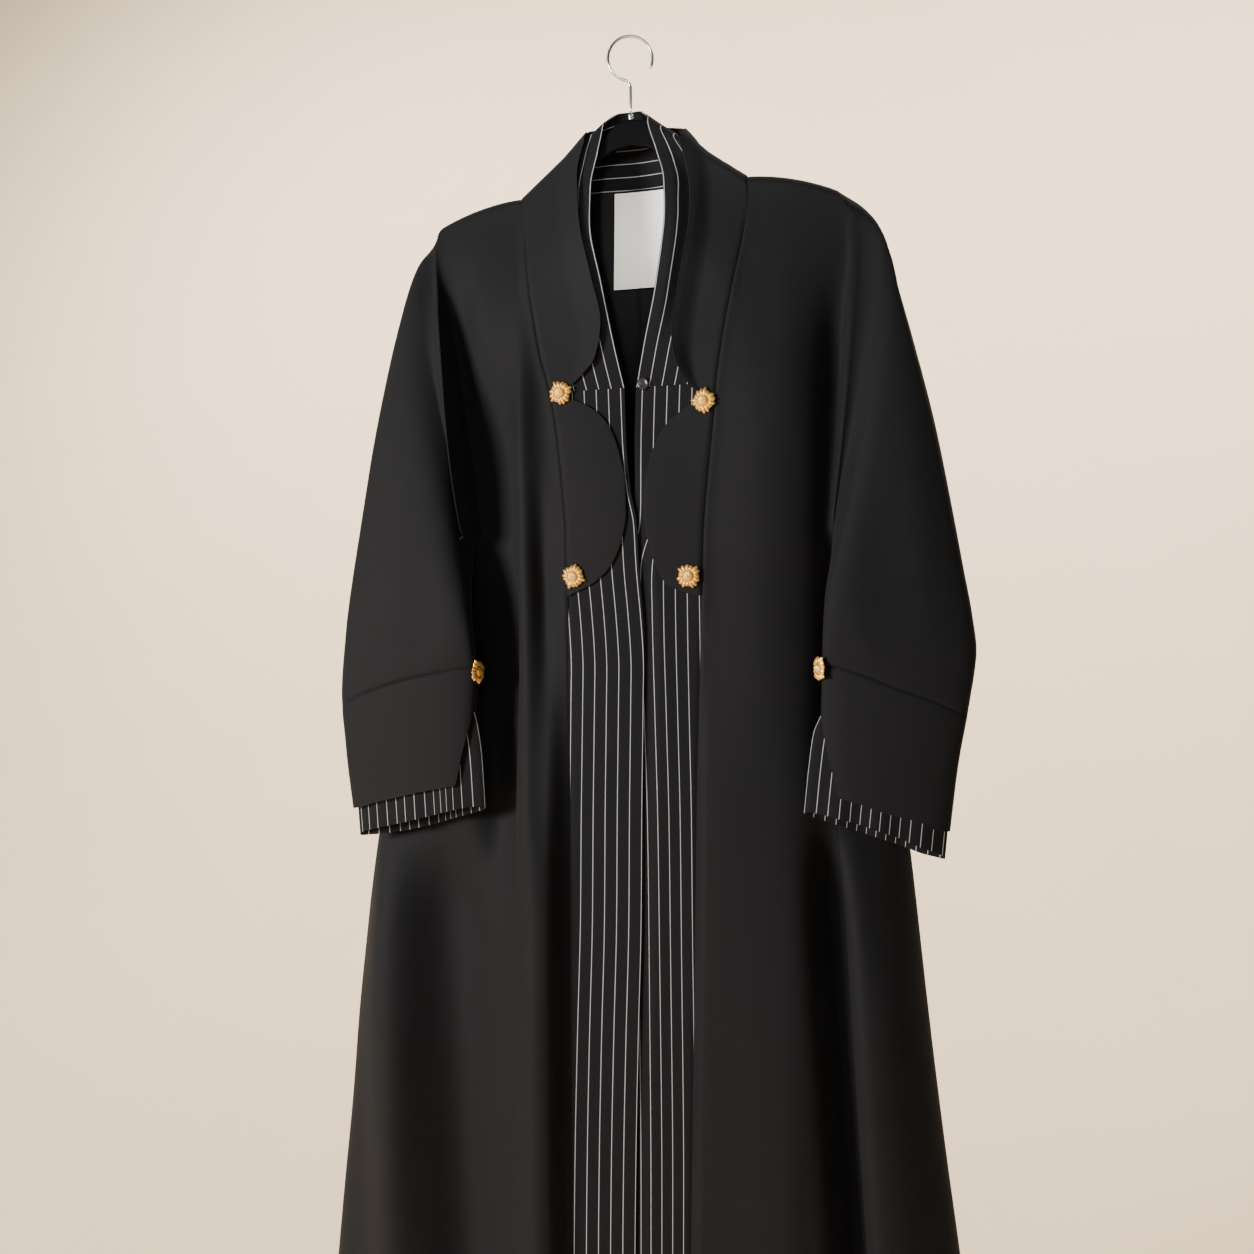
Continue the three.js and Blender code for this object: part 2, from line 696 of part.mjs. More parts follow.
// A place in the sleeve seen from the front, blended from its four edges (a Coons patch):
// outer fold, inner fold, armhole and cuff seam.
function sleeveOutline(side, along, share) {
  const zOut = lerp(SHOULDER_Z, cuffSeam[side.name](0), 0.6 * along + 0.4 * along * along);
  const zIn = lerp(UNDERARM_Z, cuffSeam[side.name](1), along);
  const zArm = lerp(SHOULDER_Z, UNDERARM_Z, share);
  const zCuff = cuffSeam[side.name](share);
  const corners = {
    top: [armhole[side.name](SHOULDER_Z), SHOULDER_Z],
    underarm: [armhole[side.name](UNDERARM_Z), UNDERARM_Z],
    outer: [sleeveOuter[side.name](cuffSeam[side.name](0)), cuffSeam[side.name](0)],
    inner: [sleeveInner[side.name](cuffSeam[side.name](1)), cuffSeam[side.name](1)],
  };
  const outer = [sleeveOuter[side.name](zOut), zOut];
  const inner = [sleeveInner[side.name](zIn), zIn];
  const arm = [armhole[side.name](zArm), zArm];
  const cuff = [lerp(corners.outer[0], corners.inner[0], share), zCuff];
  return [0, 1].map(
    (axis) =>
      lerp(outer[axis], inner[axis], share) +
      lerp(arm[axis], cuff[axis], along) -
      lerp(
        lerp(corners.top[axis], corners.underarm[axis], share),
        lerp(corners.outer[axis], corners.inner[axis], share),
        along,
      ),
  );
}

// The wrist hangs forward of the body, its inner fold the most: `out` is the distance from x = 0.
function wristForward(side, out) {
  const outer = sleeveOuter[side.name](cuffSeam[side.name](0));
  const inner = sleeveInner[side.name](cuffSeam[side.name](1));
  return lerp(WRIST_FORWARD.outer, WRIST_FORWARD.inner, (outer - out) / (outer - inner));
}

function sleeveGrid(side) {
  const outerFold = sleeveOuter[side.name](cuffSeam[side.name](0));
  const innerFold = sleeveInner[side.name](cuffSeam[side.name](1));
  const seam = tubeSteps.map(({ share, face }) => {
    const [out, z] = sleeveOutline(side, 0, share);
    return face < 0 ? frontPoint(side.x * out, z) : backPoint(side.x * out, z);
  });
  return range(SLEEVE_ROWS + 1).map((i) => {
    const along = i / SLEEVE_ROWS;
    if (i === 0) return seam;
    return tubeSteps.map(({ share, face }, j) => {
      const [out, z] = sleeveOutline(side, along, share);
      const x = side.x * out;
      const fullness = lerp(0.42, CUFF_TUBE.fullness, along);
      const forward = wristForward(side, lerp(outerFold, innerFold, share)) * Math.pow(along, 0.8);
      const hanging = face * tubeDepth.sleeve(along) * tubeRound(share, fullness) - forward;
      return new THREE.Vector3(x, lerp(seam[j].y, hanging, ramp(along, 0, 0.12)), z);
    });
  });
}

function cuffGrid(side) {
  return range(CUFF_ROWS + 1).map((i) => {
    const down = i / CUFF_ROWS;
    return tubeSteps.map(({ share, face }) => {
      const seam = cuffSeam[side.name](share);
      const backDrop = face > 0 ? 4 * Math.sin(Math.PI * share) : 0;
      const z = lerp(seam, cuffHem[side.name](share) - backDrop, down);
      const outerZ = lerp(cuffSeam[side.name](0), cuffHem[side.name](0), down);
      const innerZ = lerp(cuffSeam[side.name](1), cuffHem[side.name](1), down);
      const out = lerp(sleeveOuter[side.name](outerZ), sleeveInner[side.name](innerZ), share);
      const y = face * CUFF_TUBE.depth * tubeRound(share, CUFF_TUBE.fullness) - wristForward(side, out);
      return new THREE.Vector3(side.x * out, y, z);
    });
  });
}

// The under-cuff's sewn edge: the cuff's own section, drawn in by one layer all round.
function underCuffTop(side) {
  const outer = sleeveOuter[side.name](cuffSeam[side.name](0));
  const inner = sleeveInner[side.name](cuffSeam[side.name](1));
  const middle = (outer + inner) / 2;
  const shrink = 1 - UNDER_CUFF_TUBE.drawnIn / ((outer - inner) / 2);
  return tubeSteps.map(({ share, face }) => {
    const out = middle + (lerp(outer, inner, share) - middle) * shrink;
    const depth = CUFF_TUBE.depth - UNDER_CUFF_TUBE.drawnIn;
    const y = face * depth * tubeRound(share, CUFF_TUBE.fullness) - wristForward(side, out);
    return new THREE.Vector3(side.x * out, y, cuffSeam[side.name](share) - UNDER_CUFF_TUBE.topDrop);
  });
}

function underCuffGrid(side) {
  return range(CUFF_ROWS + 1).map((i) => {
    if (i === 0) return underCuffTop(side);
    const down = i / CUFF_ROWS;
    const depth = lerp(UNDER_CUFF_TUBE.top, UNDER_CUFF_TUBE.hem, down);
    return tubeSteps.map(({ share, face }) => {
      const backDrop = face > 0 ? 7 * tubeRound(share) : 0;
      const top = cuffSeam[side.name](share) - UNDER_CUFF_TUBE.topDrop;
      const z = lerp(top, underCuffHem[side.name](share) - backDrop, down);
      const outer = lerp(UNDER_CUFF_OUTER.top[side.name], UNDER_CUFF_OUTER.hem[side.name], down);
      const foldZ = lerp(cuffSeam[side.name](1) - UNDER_CUFF_TUBE.topDrop, underCuffHem[side.name](1), down);
      const out = lerp(outer, underCuffInner[side.name](foldZ), share);
      const y = face * depth * tubeRound(share, UNDER_CUFF_TUBE.fullness) - wristForward(side, out);
      return new THREE.Vector3(side.x * out, y, z);
    });
  });
}

// ---- label ----------------------------------------------------------------------------------------
const LABEL = { xFrom: -27, xTo: 31, zTop: -138, zFoot: -235, wall: 1, gap: 0.8 };

function labelGrid() {
  const inset = CLOTH / 2 + LABEL.gap + LABEL.wall / 2;
  return range(5).map((i) => {
    const down = i / 4;
    const z = lerp(LABEL.zTop, LABEL.zFoot, down);
    return range(4).map((j) => {
      const point = backPoint(lerp(LABEL.xFrom, LABEL.xTo, j / 3), z);
      point.y -= inset + 3 * down;
      return point;
    });
  });
}

// ---- materials ------------------------------------------------------------------------------------
const finish = (color, roughness, metalness = 0) =>
  new THREE.MeshStandardMaterial({ color, roughness, metalness, side: THREE.FrontSide });
const MATERIALS = {
  crepe: finish(0x101014, 0.85),
  pinstripe: finish(0x2a2a30, 0.8),
  label: finish(0xe6e1d6, 0.8),
  gold: finish(0x8f7444, 0.35, 1),
  darkButton: finish(0x141214, 0.4),
  hanger: finish(0x0c0c0e, 0.45),
  wire: finish(0xb8bcc2, 0.25, 1),
};

// ---- hanger ---------------------------------------------------------------------------------------
const HANGER_WIDTH = 7; // thickness of the hanger's body, front to back
const HOOK = { wire: 3, bendRadius: 21.5, filletRadius: 7, tipAngle: -28, turnedBy: 16.5 };
const FERRULE = { radius: 3.6, top: -74, foot: -79.2 };
const HANGER_TOP = [
  [0, -79.5],
  [12, -80.5],
  [21, -88],
  [42, -108],
  [74, -131],
  [112, -151.5],
  [150, -160.5],
  [187, -169.5],
];
const HANGER_FOOT = [
  [189, -179],
  [150, -172],
  [108, -163],
  [66, -139],
  [30, -114],
  [16, -107],
  [0, -104],
];

function hangerBodyGeometry() {
  const half = HANGER_TOP.concat(HANGER_FOOT);
  const mirrored = half.slice(1, -1).reverse().map(([x, z]) => [-x, z]);
  const bevel = 1.4;
  const shape = new THREE.Shape(half.concat(mirrored).map(([x, z]) => new THREE.Vector2(x, z)));
  const geometry = new THREE.ExtrudeGeometry(shape, {
    depth: HANGER_WIDTH - 2 * bevel,
    bevelEnabled: true,
    bevelThickness: bevel,
    bevelSize: bevel,
    bevelOffset: -bevel,
    bevelSegments: 2,
  });
  return geometry.translate(0, 0, bevel - HANGER_WIDTH / 2).rotateX(Math.PI / 2);
}

// The hook's wire: up the stem, a small bend forwards, then round over the rail and down behind it.
function hookPath() {
  const { wire, bendRadius, filletRadius } = HOOK;
  const centre = wire / 2 - bendRadius;
  const filletCentre = centre - Math.sqrt((bendRadius + filletRadius) ** 2 - filletRadius ** 2);
  const filletTurn = Math.atan2(centre - filletCentre, filletRadius);
  const onCircle = (x, z, radius, angle) =>
    new THREE.Vector3(x + radius * Math.cos(angle), 0, z + radius * Math.sin(angle));
  const stemFoot = FERRULE.top + SEAM_GAP;
  const stem = range(3).map((i) => new THREE.Vector3(0, 0, lerp(stemFoot, filletCentre, i / 3)));
  const fillet = range(5).map((i) =>
    onCircle(-filletRadius, filletCentre, filletRadius, (filletTurn * i) / 4),
  );
  const bendStart = filletTurn - Math.PI;
  const bendEnd = THREE.MathUtils.degToRad(HOOK.tipAngle) - 2 * Math.PI;
  const bend = range(26).map((i) => onCircle(0, centre, bendRadius, lerp(bendStart, bendEnd, (i + 1) / 26)));
  return new THREE.CatmullRomCurve3(stem.concat(fillet, bend));
}

function hookGeometry() {
  const section = new THREE.Shape().absarc(0, 0, HOOK.wire / 2, 0, 2 * Math.PI);
  const geometry = new THREE.ExtrudeGeometry(section, {
    steps: 40,
    curveSegments: 4,
    extrudePath: hookPath(),
  });
  return geometry.rotateZ(Math.PI / 2 + THREE.MathUtils.degToRad(HOOK.turnedBy));
}

function ferruleGeometry() {
  const { radius, top, foot } = FERRULE;
  const profile = [
    [0, foot],
    [radius, foot],
    [radius, top - 1],
    [radius - 1, top],
    [0, top],
  ].map(([r, z]) => new THREE.Vector2(r, z));
  return new THREE.LatheGeometry(profile, 16).rotateX(Math.PI / 2);
}

// ---- buttons --------------------------------------------------------------------------------------
const BUTTON = { radius: 11, valley: 9, petals: 14, height: 6, domeRadius: 5.2 };
const NECK_BUTTON = { radius: 5, height: 3 };

// A sunburst: a domed middle, a groove, and a ring of pointed petals. It faces +Z, its back on z = 0.
function sunburstGeometry() {
  const { radius, valley, petals, height, domeRadius } = BUTTON;
  const spokes = petals * 2;
  const rings = [
    { tip: domeRadius * 0.6, root: domeRadius * 0.6, z: height - 0.7 },
    { tip: domeRadius, root: domeRadius, z: 3 },
    { tip: (radius + domeRadius) / 2, root: (valley + domeRadius) / 2, z: 3.4 },
    { tip: radius, root: valley, z: 1.2 },
    { tip: radius - 1, root: valley - 1, z: 0 },
  ];
  const positions = [0, 0, height];
  rings.forEach(({ tip, root, z }, ring) => {
    for (const spoke of range(spokes)) {
      const angle = (spoke * 2 * Math.PI) / spokes;
      const reach = spoke % 2 ? root : tip;
      const petalRise = ring === 2 && spoke % 2 === 0 ? 0.9 : 0;
      positions.push(reach * Math.cos(angle), reach * Math.sin(angle), z + petalRise);
    }
  });
  const foot = positions.length / 3;
  positions.push(0, 0, 0);
  const at = (ring, spoke) => 1 + ring * spokes + (spoke % spokes);
  const faces = [];
  for (const spoke of range(spokes)) {
    faces.push(0, at(0, spoke), at(0, spoke + 1));
    for (const ring of range(rings.length - 1)) {
      faces.push(at(ring, spoke), at(ring + 1, spoke), at(ring + 1, spoke + 1));
      faces.push(at(ring, spoke), at(ring + 1, spoke + 1), at(ring, spoke + 1));
    }
    faces.push(foot, at(rings.length - 1, spoke + 1), at(rings.length - 1, spoke));
  }
  const geometry = new THREE.BufferGeometry();
  geometry.setAttribute("position", new THREE.Float32BufferAttribute(positions, 3));
  geometry.setIndex(faces);
  geometry.computeVertexNormals();
  return geometry;
}

function neckButtonGeometry() {
  const { radius, height } = NECK_BUTTON;
  const profile = [
    [0, 0],
    [radius - 0.6, 0],
    [radius, 0.8],
    [radius, height - 0.9],
    [radius - 0.9, height],
    [0, height - 0.5],
  ].map(([r, z]) => new THREE.Vector2(r, z));
  return new THREE.LatheGeometry(profile, 18).rotateX(Math.PI / 2);
}

// The front surface's outward direction at a place.
function frontNormal(x, z) {
  const step = 6;
  const across = frontPoint(x + step, z).sub(frontPoint(x - step, z));
  const down = frontPoint(x, z - step).sub(frontPoint(x, z + step));
  return down.cross(across).normalize();
}

// Seats a button on the front: its flat back clears the highest cloth under its rim.
function seatOnFront(mesh, x, z, reach, clothUnder) {
  const middle = frontPoint(x, z);
  const normal = frontNormal(x, z);
  const rise = range(12).map((i) => {
    const angle = (i * Math.PI) / 6;
    const rim = frontPoint(x + reach * Math.cos(angle), z + reach * Math.sin(angle));
    return rim.sub(middle).dot(normal);
  });
  const lift = Math.max(0, ...rise) + clothUnder + SEAM_GAP;
  seat(mesh, middle.addScaledVector(normal, lift), normal);
}

function seat(mesh, point, direction) {
  mesh.position.copy(point);
  mesh.quaternion.setFromUnitVectors(CREST_UP, direction);
}

// ---- the part -------------------------------------------------------------------------------------
const abaya = new THREE.Group();
abaya.name = "abaya_on_hanger";

function addMesh(name, geometry, material) {
  const mesh = new THREE.Mesh(geometry, material);
  mesh.name = name;
  abaya.add(mesh);
  return mesh;
}

// Normals along the lines that the cloth folds over, so that front and back meet squarely.
function crestNormals(panels) {
  return panels
    .filter(({ name }) => /^(front|back|lapel|neck)/.test(name))
    .flatMap(({ grid }) => grid.flat())
    .filter((point) => Math.abs(point.y) < 1e-6 && Math.abs(crestHeight(point.x) - point.z) < 1e-6)
    .map((point) => {
      const step = 2;
      const slope = (crestHeight(point.x + step) - crestHeight(point.x - step)) / (2 * step);
      return { point, normal: new THREE.Vector3(-slope, 0, 1).normalize() };
    });
}

const bodyPanels = SIDES.flatMap((side) => [
  makePanel(`front_${side.name}`, frontGrid(side), FRONTWARD),
  makePanel(`back_${side.name}`, backGrid(side), BACKWARD, { trim: SEAM_GAP * 0.9 }),
  makePanel(`sleeve_${side.name}`, sleeveGrid(side), FRONTWARD, {
    ring: true,
    trim: SEAM_GAP,
    ease: tubeSteps.map(({ share }) => TIP_EASE * (1 - share) ** 30 + UNDERARM_EASE * share ** 30),
  }),
  makePanel(`cuff_${side.name}`, cuffGrid(side), FRONTWARD, { ring: true }),
  makePanel(`inset_${side.name}`, insetGrid(side), FRONTWARD),
]).concat(makePanel("neck_band", neckBandGrid(), BACKWARD, { trim: SEAM_GAP }));
shareNormals(bodyPanels, crestNormals(bodyPanels));

const lapels = SIDES.map((side) => makePanel(`lapel_${side.name}`, lapelGrid(side), FRONTWARD));
shareNormals(lapels, crestNormals(lapels));

const scallops = SIDES.map((side) => makePanel(`scallop_${side.name}`, scallopGrid(side), FRONTWARD));
const underCuffs = SIDES.map((side) =>
  makePanel(`under_cuff_${side.name}`, underCuffGrid(side), FRONTWARD, { ring: true }),
);

const STRIPED = /^(neck_band|inset|under_cuff)/;
bodyPanels
  .concat(lapels.map((panel) => movedOut(panel, LAYER)))
  .concat(scallops.map((panel) => movedOut(panel, LAYER + SEAM_GAP)))
  .concat(underCuffs)
  .forEach((panel) => {
    const material = STRIPED.test(panel.name) ? MATERIALS.pinstripe : MATERIALS.crepe;
    addMesh(panel.name, wallGeometry(panel), material);
  });

addMesh(
  "neck_label",
  wallGeometry(makePanel("neck_label", labelGrid(), FRONTWARD, { wall: LABEL.wall })),
  MATERIALS.label,
);

const ON_LAPEL = LAYER + SEAM_GAP + CLOTH / 2;
const BUTTON_PLACES = {
  columns: ["name", "x", "z"],
  rows: [
    ["button_lapel_right", -63, -344],
    ["button_lapel_left", 80, -360],
    ["button_scallop_right", -52, -519],
    ["button_scallop_left", 62, -520],
  ],
};
for (const [name, x, z] of BUTTON_PLACES.rows) {
  seatOnFront(addMesh(name, sunburstGeometry(), MATERIALS.gold), x, z, BUTTON.radius, ON_LAPEL);
}
for (const side of SIDES) {
  const button = addMesh(`button_cuff_${side.name}`, sunburstGeometry(), MATERIALS.gold);
  const z = cuffSeam[side.name](1) - 4;
  const out = sleeveInner[side.name](z) - CLOTH / 2 - 2 * SEAM_GAP;
  const point = new THREE.Vector3(side.x * out, -wristForward(side, out), z);
  seat(button, point, new THREE.Vector3(-side.x, 0, 0));
}
seatOnFront(
  addMesh("button_neck", neckButtonGeometry(), MATERIALS.darkButton),
  17.6,
  -335,
  NECK_BUTTON.radius,
  CLOTH / 2,
);

addMesh("hanger_body", hangerBodyGeometry(), MATERIALS.hanger);
addMesh("hanger_ferrule", ferruleGeometry(), MATERIALS.wire);
addMesh("hanger_hook", hookGeometry(), MATERIALS.wire);

export default abaya;
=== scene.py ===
"""An open black abaya with pinstriped insets, hanging flat on a slim hanger.

Laid out as an add-on: sizes and colours are property groups, each piece or group of like pieces is an
operator, and a panel lists them. Shapes are worked out in millimetres and put into the meshes in
metres. Right and left are the wearer's; the front faces -Y.
"""

import math

import bpy
import numpy as np
from mathutils import Matrix, Vector


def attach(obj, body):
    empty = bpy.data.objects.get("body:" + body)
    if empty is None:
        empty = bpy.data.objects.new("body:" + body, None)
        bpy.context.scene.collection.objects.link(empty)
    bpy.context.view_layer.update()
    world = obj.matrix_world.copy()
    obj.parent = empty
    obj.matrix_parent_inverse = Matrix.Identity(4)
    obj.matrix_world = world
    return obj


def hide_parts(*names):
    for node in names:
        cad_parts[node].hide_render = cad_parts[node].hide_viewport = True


bl_info = {
    "name": "Abaya on a Hanger",
    "version": (1, 0, 0),
    "blender": (4, 5, 0),
    "location": "3D View > Sidebar > Abaya",
    "description": "Builds an open abaya, its buttons and its hanger piece by piece",
    "category": "Object",
}

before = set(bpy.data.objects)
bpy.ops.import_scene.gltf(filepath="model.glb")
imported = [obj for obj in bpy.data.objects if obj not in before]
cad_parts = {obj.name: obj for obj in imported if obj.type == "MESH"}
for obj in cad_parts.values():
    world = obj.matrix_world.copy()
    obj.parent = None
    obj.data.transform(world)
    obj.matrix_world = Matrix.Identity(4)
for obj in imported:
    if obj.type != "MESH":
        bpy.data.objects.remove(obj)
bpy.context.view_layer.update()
MM = 0.001

SIDE_SIGN = {"right": -1.0, "left": 1.0}
FRONTWARD = np.array([0.0, -1.0, 0.0])
BACKWARD = np.array([0.0, 1.0, 0.0])

# ---- fixed sizes, in millimetres -------------------------------------------------------------------
# Heights from the inside of the hook's bend: Z is up, so all lie below 0.
NECK_POINT_Z = -146.0
SHOULDER_Z = -168.0
UNDERARM_Z = -478.0
CROSS_SEAM_Z = -341.0
HEM_Z = -1544.0
BAND_TOP_Z = -78.0
COLLAR_TOP_Z = -67.0
BACK_NECK_Z = -135.0
# Distances out from the middle line: the shoulder seam's two ends, and the top of the neck band.
SHOULDER_OUT = 200.0
NECK_OUT = {"right": 110.0, "left": 112.0}
BAND_TOP_OUT = {"right": 25.0, "left": 17.0}
# The cloth folds over the crest in a quarter round, then falls to its full depth over a length.
CREST_RADIUS = 7.0
DRAPE_LENGTH = 120.0
# A piece laid on another stands one layer off it.
LAYER = 2.15
# Half depths of the flat tubes, and how squarely their sections are filled (less is squarer).
ARMHOLE_DEPTH = 14.0
CUFF_DEPTH = 15.0
SLEEVE_FULLNESS = 0.42
CUFF_FULLNESS = 0.36
# Powers of the share across: the higher, the closer to the edge the cloth starts to turn.
EDGE_SHARPNESS = 60
FOLD_SHARPNESS = 30
# A hanging fold fades in and out over this length.
FOLD_FADE = 130
STRIPE_PITCH = 12.2
LABEL_TOP_Z, LABEL_FOOT_Z = -138, -235
LABEL_RIGHT_X, LABEL_LEFT_X = -27, 31
# The label's border, in metres: half the label's size, how far in the line lies, and half its width.
LABEL_HALF_SIZE = (0.029, 0.0485)
LABEL_LINE_IN = 0.0032
LABEL_LINE_HALF = 0.00035
# The camera: sensor width in mm, focal length and image width in pixels, and sideways shift in pixels.
SENSOR_WIDTH = 36.0
FOCAL_LENGTH, IMAGE_WIDTH, IMAGE_SHIFT = 1321, 1254, -3


# ---- curves ----------------------------------------------------------------------------------------
def mix(first, second, share):
    """Straight blend: first at share 0, second at share 1."""
    return first + (second - first) * share


def ramp(value, start, end):
    """Smooth step from 0 at start to 1 at end: 3 t squared less 2 t cubed."""
    t = np.clip((value - start) / (end - start), 0.0, 1.0)
    return t * t * (3.0 - 2.0 * t)


def curve(keys, values):
    """Cubic pieces through the points. Each slope is the harmonic mean of its neighbours' secants, or
    0 where they turn, so the curve never overshoots."""
    secant = np.diff(values) / np.diff(keys)
    before = np.concatenate([secant[:1], secant])
    after = np.concatenate([secant, secant[-1:]])
    turning = before * after <= 0
    slope = np.where(turning, 0.0, 2 * before * after / np.where(turning, 1.0, before + after))

    def at(key):
        key = np.clip(key, keys[0], keys[-1])
        i = np.clip(np.searchsorted(keys, key, side="right") - 1, 0, len(keys) - 2)
        span = keys[i + 1] - keys[i]
        t = (key - keys[i]) / span
        rise = values[i + 1] - values[i] - span * slope[i]
        bend = span * (slope[i] + slope[i + 1]) - 2 * (values[i + 1] - values[i])
        return values[i] + span * slope[i] * t + (rise - bend) * t * t + bend * t**3

    return at


def curves(columns, *rows):
    """Named curves through a short table's rows, keyed by the first column."""
    table = np.array(sorted(rows), dtype=float)
    names = columns.split()
    return {name: curve(table[:, 0], table[:, i]) for i, name in enumerate(names) if i}


# Lines in the front view: distance from the middle line, by height.
FRONT_SEAM = curves(
    "z right left",
    (-146, 110, 112), (-171, 107, 115), (-210, 102, 110), (-256, 95, 101.5), (-305, 86.5, 93),
    (-348, 75.6, 87), (-370, 72, 85), (-428, 66, 78.4), (-482, 62.8, 73.2), (-581, 62.8, 69.3),
    (-735, 61.4, 64.8), (-930, 61, 61.6), (-1175, 60.5, 56.8), (-1552, 60, 52),
)
NECK_EDGE = curves(
    "z right left",
    (-78, 25, 17), (-86, 26, 18), (-112, 31, 26), (-142, 36, 34.5), (-180, 35, 37),
    (-238, 24, 30), (-300, 11.5, 17), (-341, 2, 9),
)
INSET_EDGE = curves(
    "z right left",
    (-341, -2, 9), (-390, -1, 7), (-438, 3, 6), (-472, 9, 4), (-510, 10.5, -6),
    (-581, 14.8, -12), (-640, 13.8, -13), (-750, 11.8, -13.4), (-850, 10.6, -13.8),
    (-960, 7.2, -13.5), (-1080, 4, -12), (-1190, 2.3, -10), (-1552, 1, -10),
)
ARMHOLE = curves(
    "z right left",
    (-168, 200, 200), (-190, 202.5, 209), (-240, 197.5, 211.5), (-306, 187.5, 208.5),
    (-384, 177, 203), (-478, 166, 193),
)
SIDE_SEAM = curves(
    "z right left",
    (-478, 166, 193), (-498, 192, 201), (-520, 209, 210), (-560, 224, 220), (-600, 237, 230),
    (-700, 268, 248), (-790, 289, 259), (-930, 303, 274.5), (-1050, 314, 288.5),
    (-1160, 327, 302.5), (-1552, 370, 348),
)
# How far the armhole seams stand forward of the flat garment.
SEAM_FORWARD = {"right": 36.0, "left": 11.0}
# Half depths of the front and the back, how square the section is, and how far its edges lie back.
BODY = curves(
    "z front back squareness setback",
    (-60, 26, 30, 2.6, 0), (-240, 26, 31, 2.5, 0), (-380, 26, 31, 2.1, 0), (-478, 27, 30, 1.7, 0),
    (-498, 27, 30, 1.67, 4), (-530, 27, 30, 1.6, 12), (-640, 29, 31, 1.6, 22),
    (-770, 32, 34, 1.8, 18), (-1000, 38, 40, 2.1, 2), (-1552, 48, 50, 2.2, 0),
)
# Rows of the lapels: height at the seam, then place out and height of the right and of the left edge.
LAPEL_ROWS = (
    (-146, 40.5, -91, 50, -98), (-153, 43.5, -99.8, 51, -108), (-172, 49, -124, 56, -129),
    (-200, 47.5, -150, 61, -158), (-235, 42.3, -190, 61.5, -197), (-270, 31.5, -238, 54.5, -244),
    (-300, 23.5, -274, 47.5, -286), (-322, 29, -309, 49.5, -314), (-336, 42, -325, 59, -337),
    (-343, 62, -341, 74, -354),
)
LAPEL_FOOT_DROP = {"right": 0.0, "left": 14.0}
# How far the neck band falls back under each lapel.
BAND_RECESS = {"right": 2.5, "left": 9.0}
SCALLOP_EDGE = curves(
    "z right left",
    (-348, 57, 70), (-357, 38, 66), (-366, 26, 54), (-378, 17, 39), (-403, 7.5, 25),
    (-432, 2, 18), (-460, 1.6, 16.6), (-485, 6, 19.5), (-508, 16, 26), (-524, 32, 34),
    (-531, 45, 42), (-537, 58, 58), (-539, 60, 68),
)
SCALLOP_ENDS = {"right": (-347.5, -538.0), "left": (-361.0, -539.0)}
SLEEVE_OUTER = curves(
    "z right left",
    (-168, 200, 200), (-184, 208, 221), (-200, 221, 234), (-220, 230, 243), (-250, 239, 250),
    (-306, 253.3, 265), (-385, 270.5, 284.5), (-455, 282.8, 298), (-520, 294, 309.5),
    (-560, 300, 316.5), (-592, 303.3, 320), (-612, 305.2, 318), (-633, 306.2, 314.5),
    (-655, 305.4, 310.8), (-680, 303, 306), (-702, 301, 302.5), (-755, 294, 296),
)
SLEEVE_INNER = curves(
    "z right left",
    (-478, 166, 193), (-500, 164, 193), (-541, 159, 189), (-607, 152.5, 186), (-655, 155, 184),
)
# Heights round the cuffs, by the share from the outer fold to the inner one.
CUFF_SEAM = curves(
    "share right left",
    (0, -648, -650), (0.14, -638, -641), (0.28, -630, -633), (0.5, -620, -623),
    (0.72, -613, -612), (0.87, -609, -606), (1, -607, -603),
)
CUFF_HEM = curves(
    "share right left",
    (0, -752, -754), (0.09, -749, -752.5), (0.23, -743, -744.5), (0.42, -736.5, -739),
    (0.58, -731, -733.5), (0.66, -728.6, -730), (0.8, -725, -726), (0.86, -723.4, -723.8),
    (0.868, -722.4, -722.6), (0.9, -703, -705), (0.935, -684, -689), (0.965, -668, -672),
    (1, -649, -651),
)
UNDER_CUFF_HEM = curves(
    "share right left",
    (0, -779, -779), (0.18, -775, -773), (0.33, -771, -766), (0.58, -762, -756),
    (0.79, -753, -748), (1, -745, -740),
)
# The under-cuffs' two folds: the inner by height, the outer at its top and foot.
UNDER_CUFF_INNER = curves(
    "z right left", (-600, 163, 194), (-640, 158, 188), (-667, 151.5, 177), (-694, 147.8, 173),
    (-745, 144.9, 167.5),
)
UNDER_CUFF_OUTER = {"right": (296.0, 288.0), "left": (303.0, 291.5)}
# How the under-cuffs' stripes crowd together: place round the front, width, how much.
STRIPE_GATHER = {"right": (0.72, 0.09, 0.75), "left": (0.5, 0.3, 0.3)}

# A sharp folded edge down each front: where it runs, and the step out on the side away from the
# middle, with the height where it starts and ends and how far it takes to die away.
FOLD_LINE = curves(
    "z right left",
    (-146, 110, 184), (-310, 109.7, 186), (-445, 111.8, 188), (-590, 114, 187),
    (-700, 115.5, 192), (-768, 115.9, 197), (-820, 115, 201), (-911, 113, 207),
    (-1047, 110.5, 215), (-1141, 110, 221), (-1552, 108, 246),
)
FOLD_STEPS = (("right", -11, -280, -860, 30), ("left", 18, -690, -1700, 70))
# Where a front's edge rolls out beyond its seam: how far out, over what width, and from what height.
SEAM_ROLLS = {"right": (14, 19, -590), "left": (5, 10, -600)}
# The left inset's stripes: where one of them runs, and the distance between them.
LEFT_STRIPE = curves(
    "z x pitch",
    (-341, 45, 11.6), (-560, 45.3, 11.5), (-655, 46.8, 11.1), (-753, 48.7, 10.9),
    (-850, 49.3, 10.75), (-1050, 50.5, 10.7), (-1200, 49.4, 10.6), (-1552, 48, 10.6),
)
# Above them its stripes start this much nearer to the centre edge.
LEFT_STRIPE_START = 6.1
# How far the right inset's stripes lie in from where its edge would put them.
RIGHT_STRIPE = curves("z shift", (-341, 3.7), (-560, 2.3), (-615, 0.1), (HEM_Z, 0))
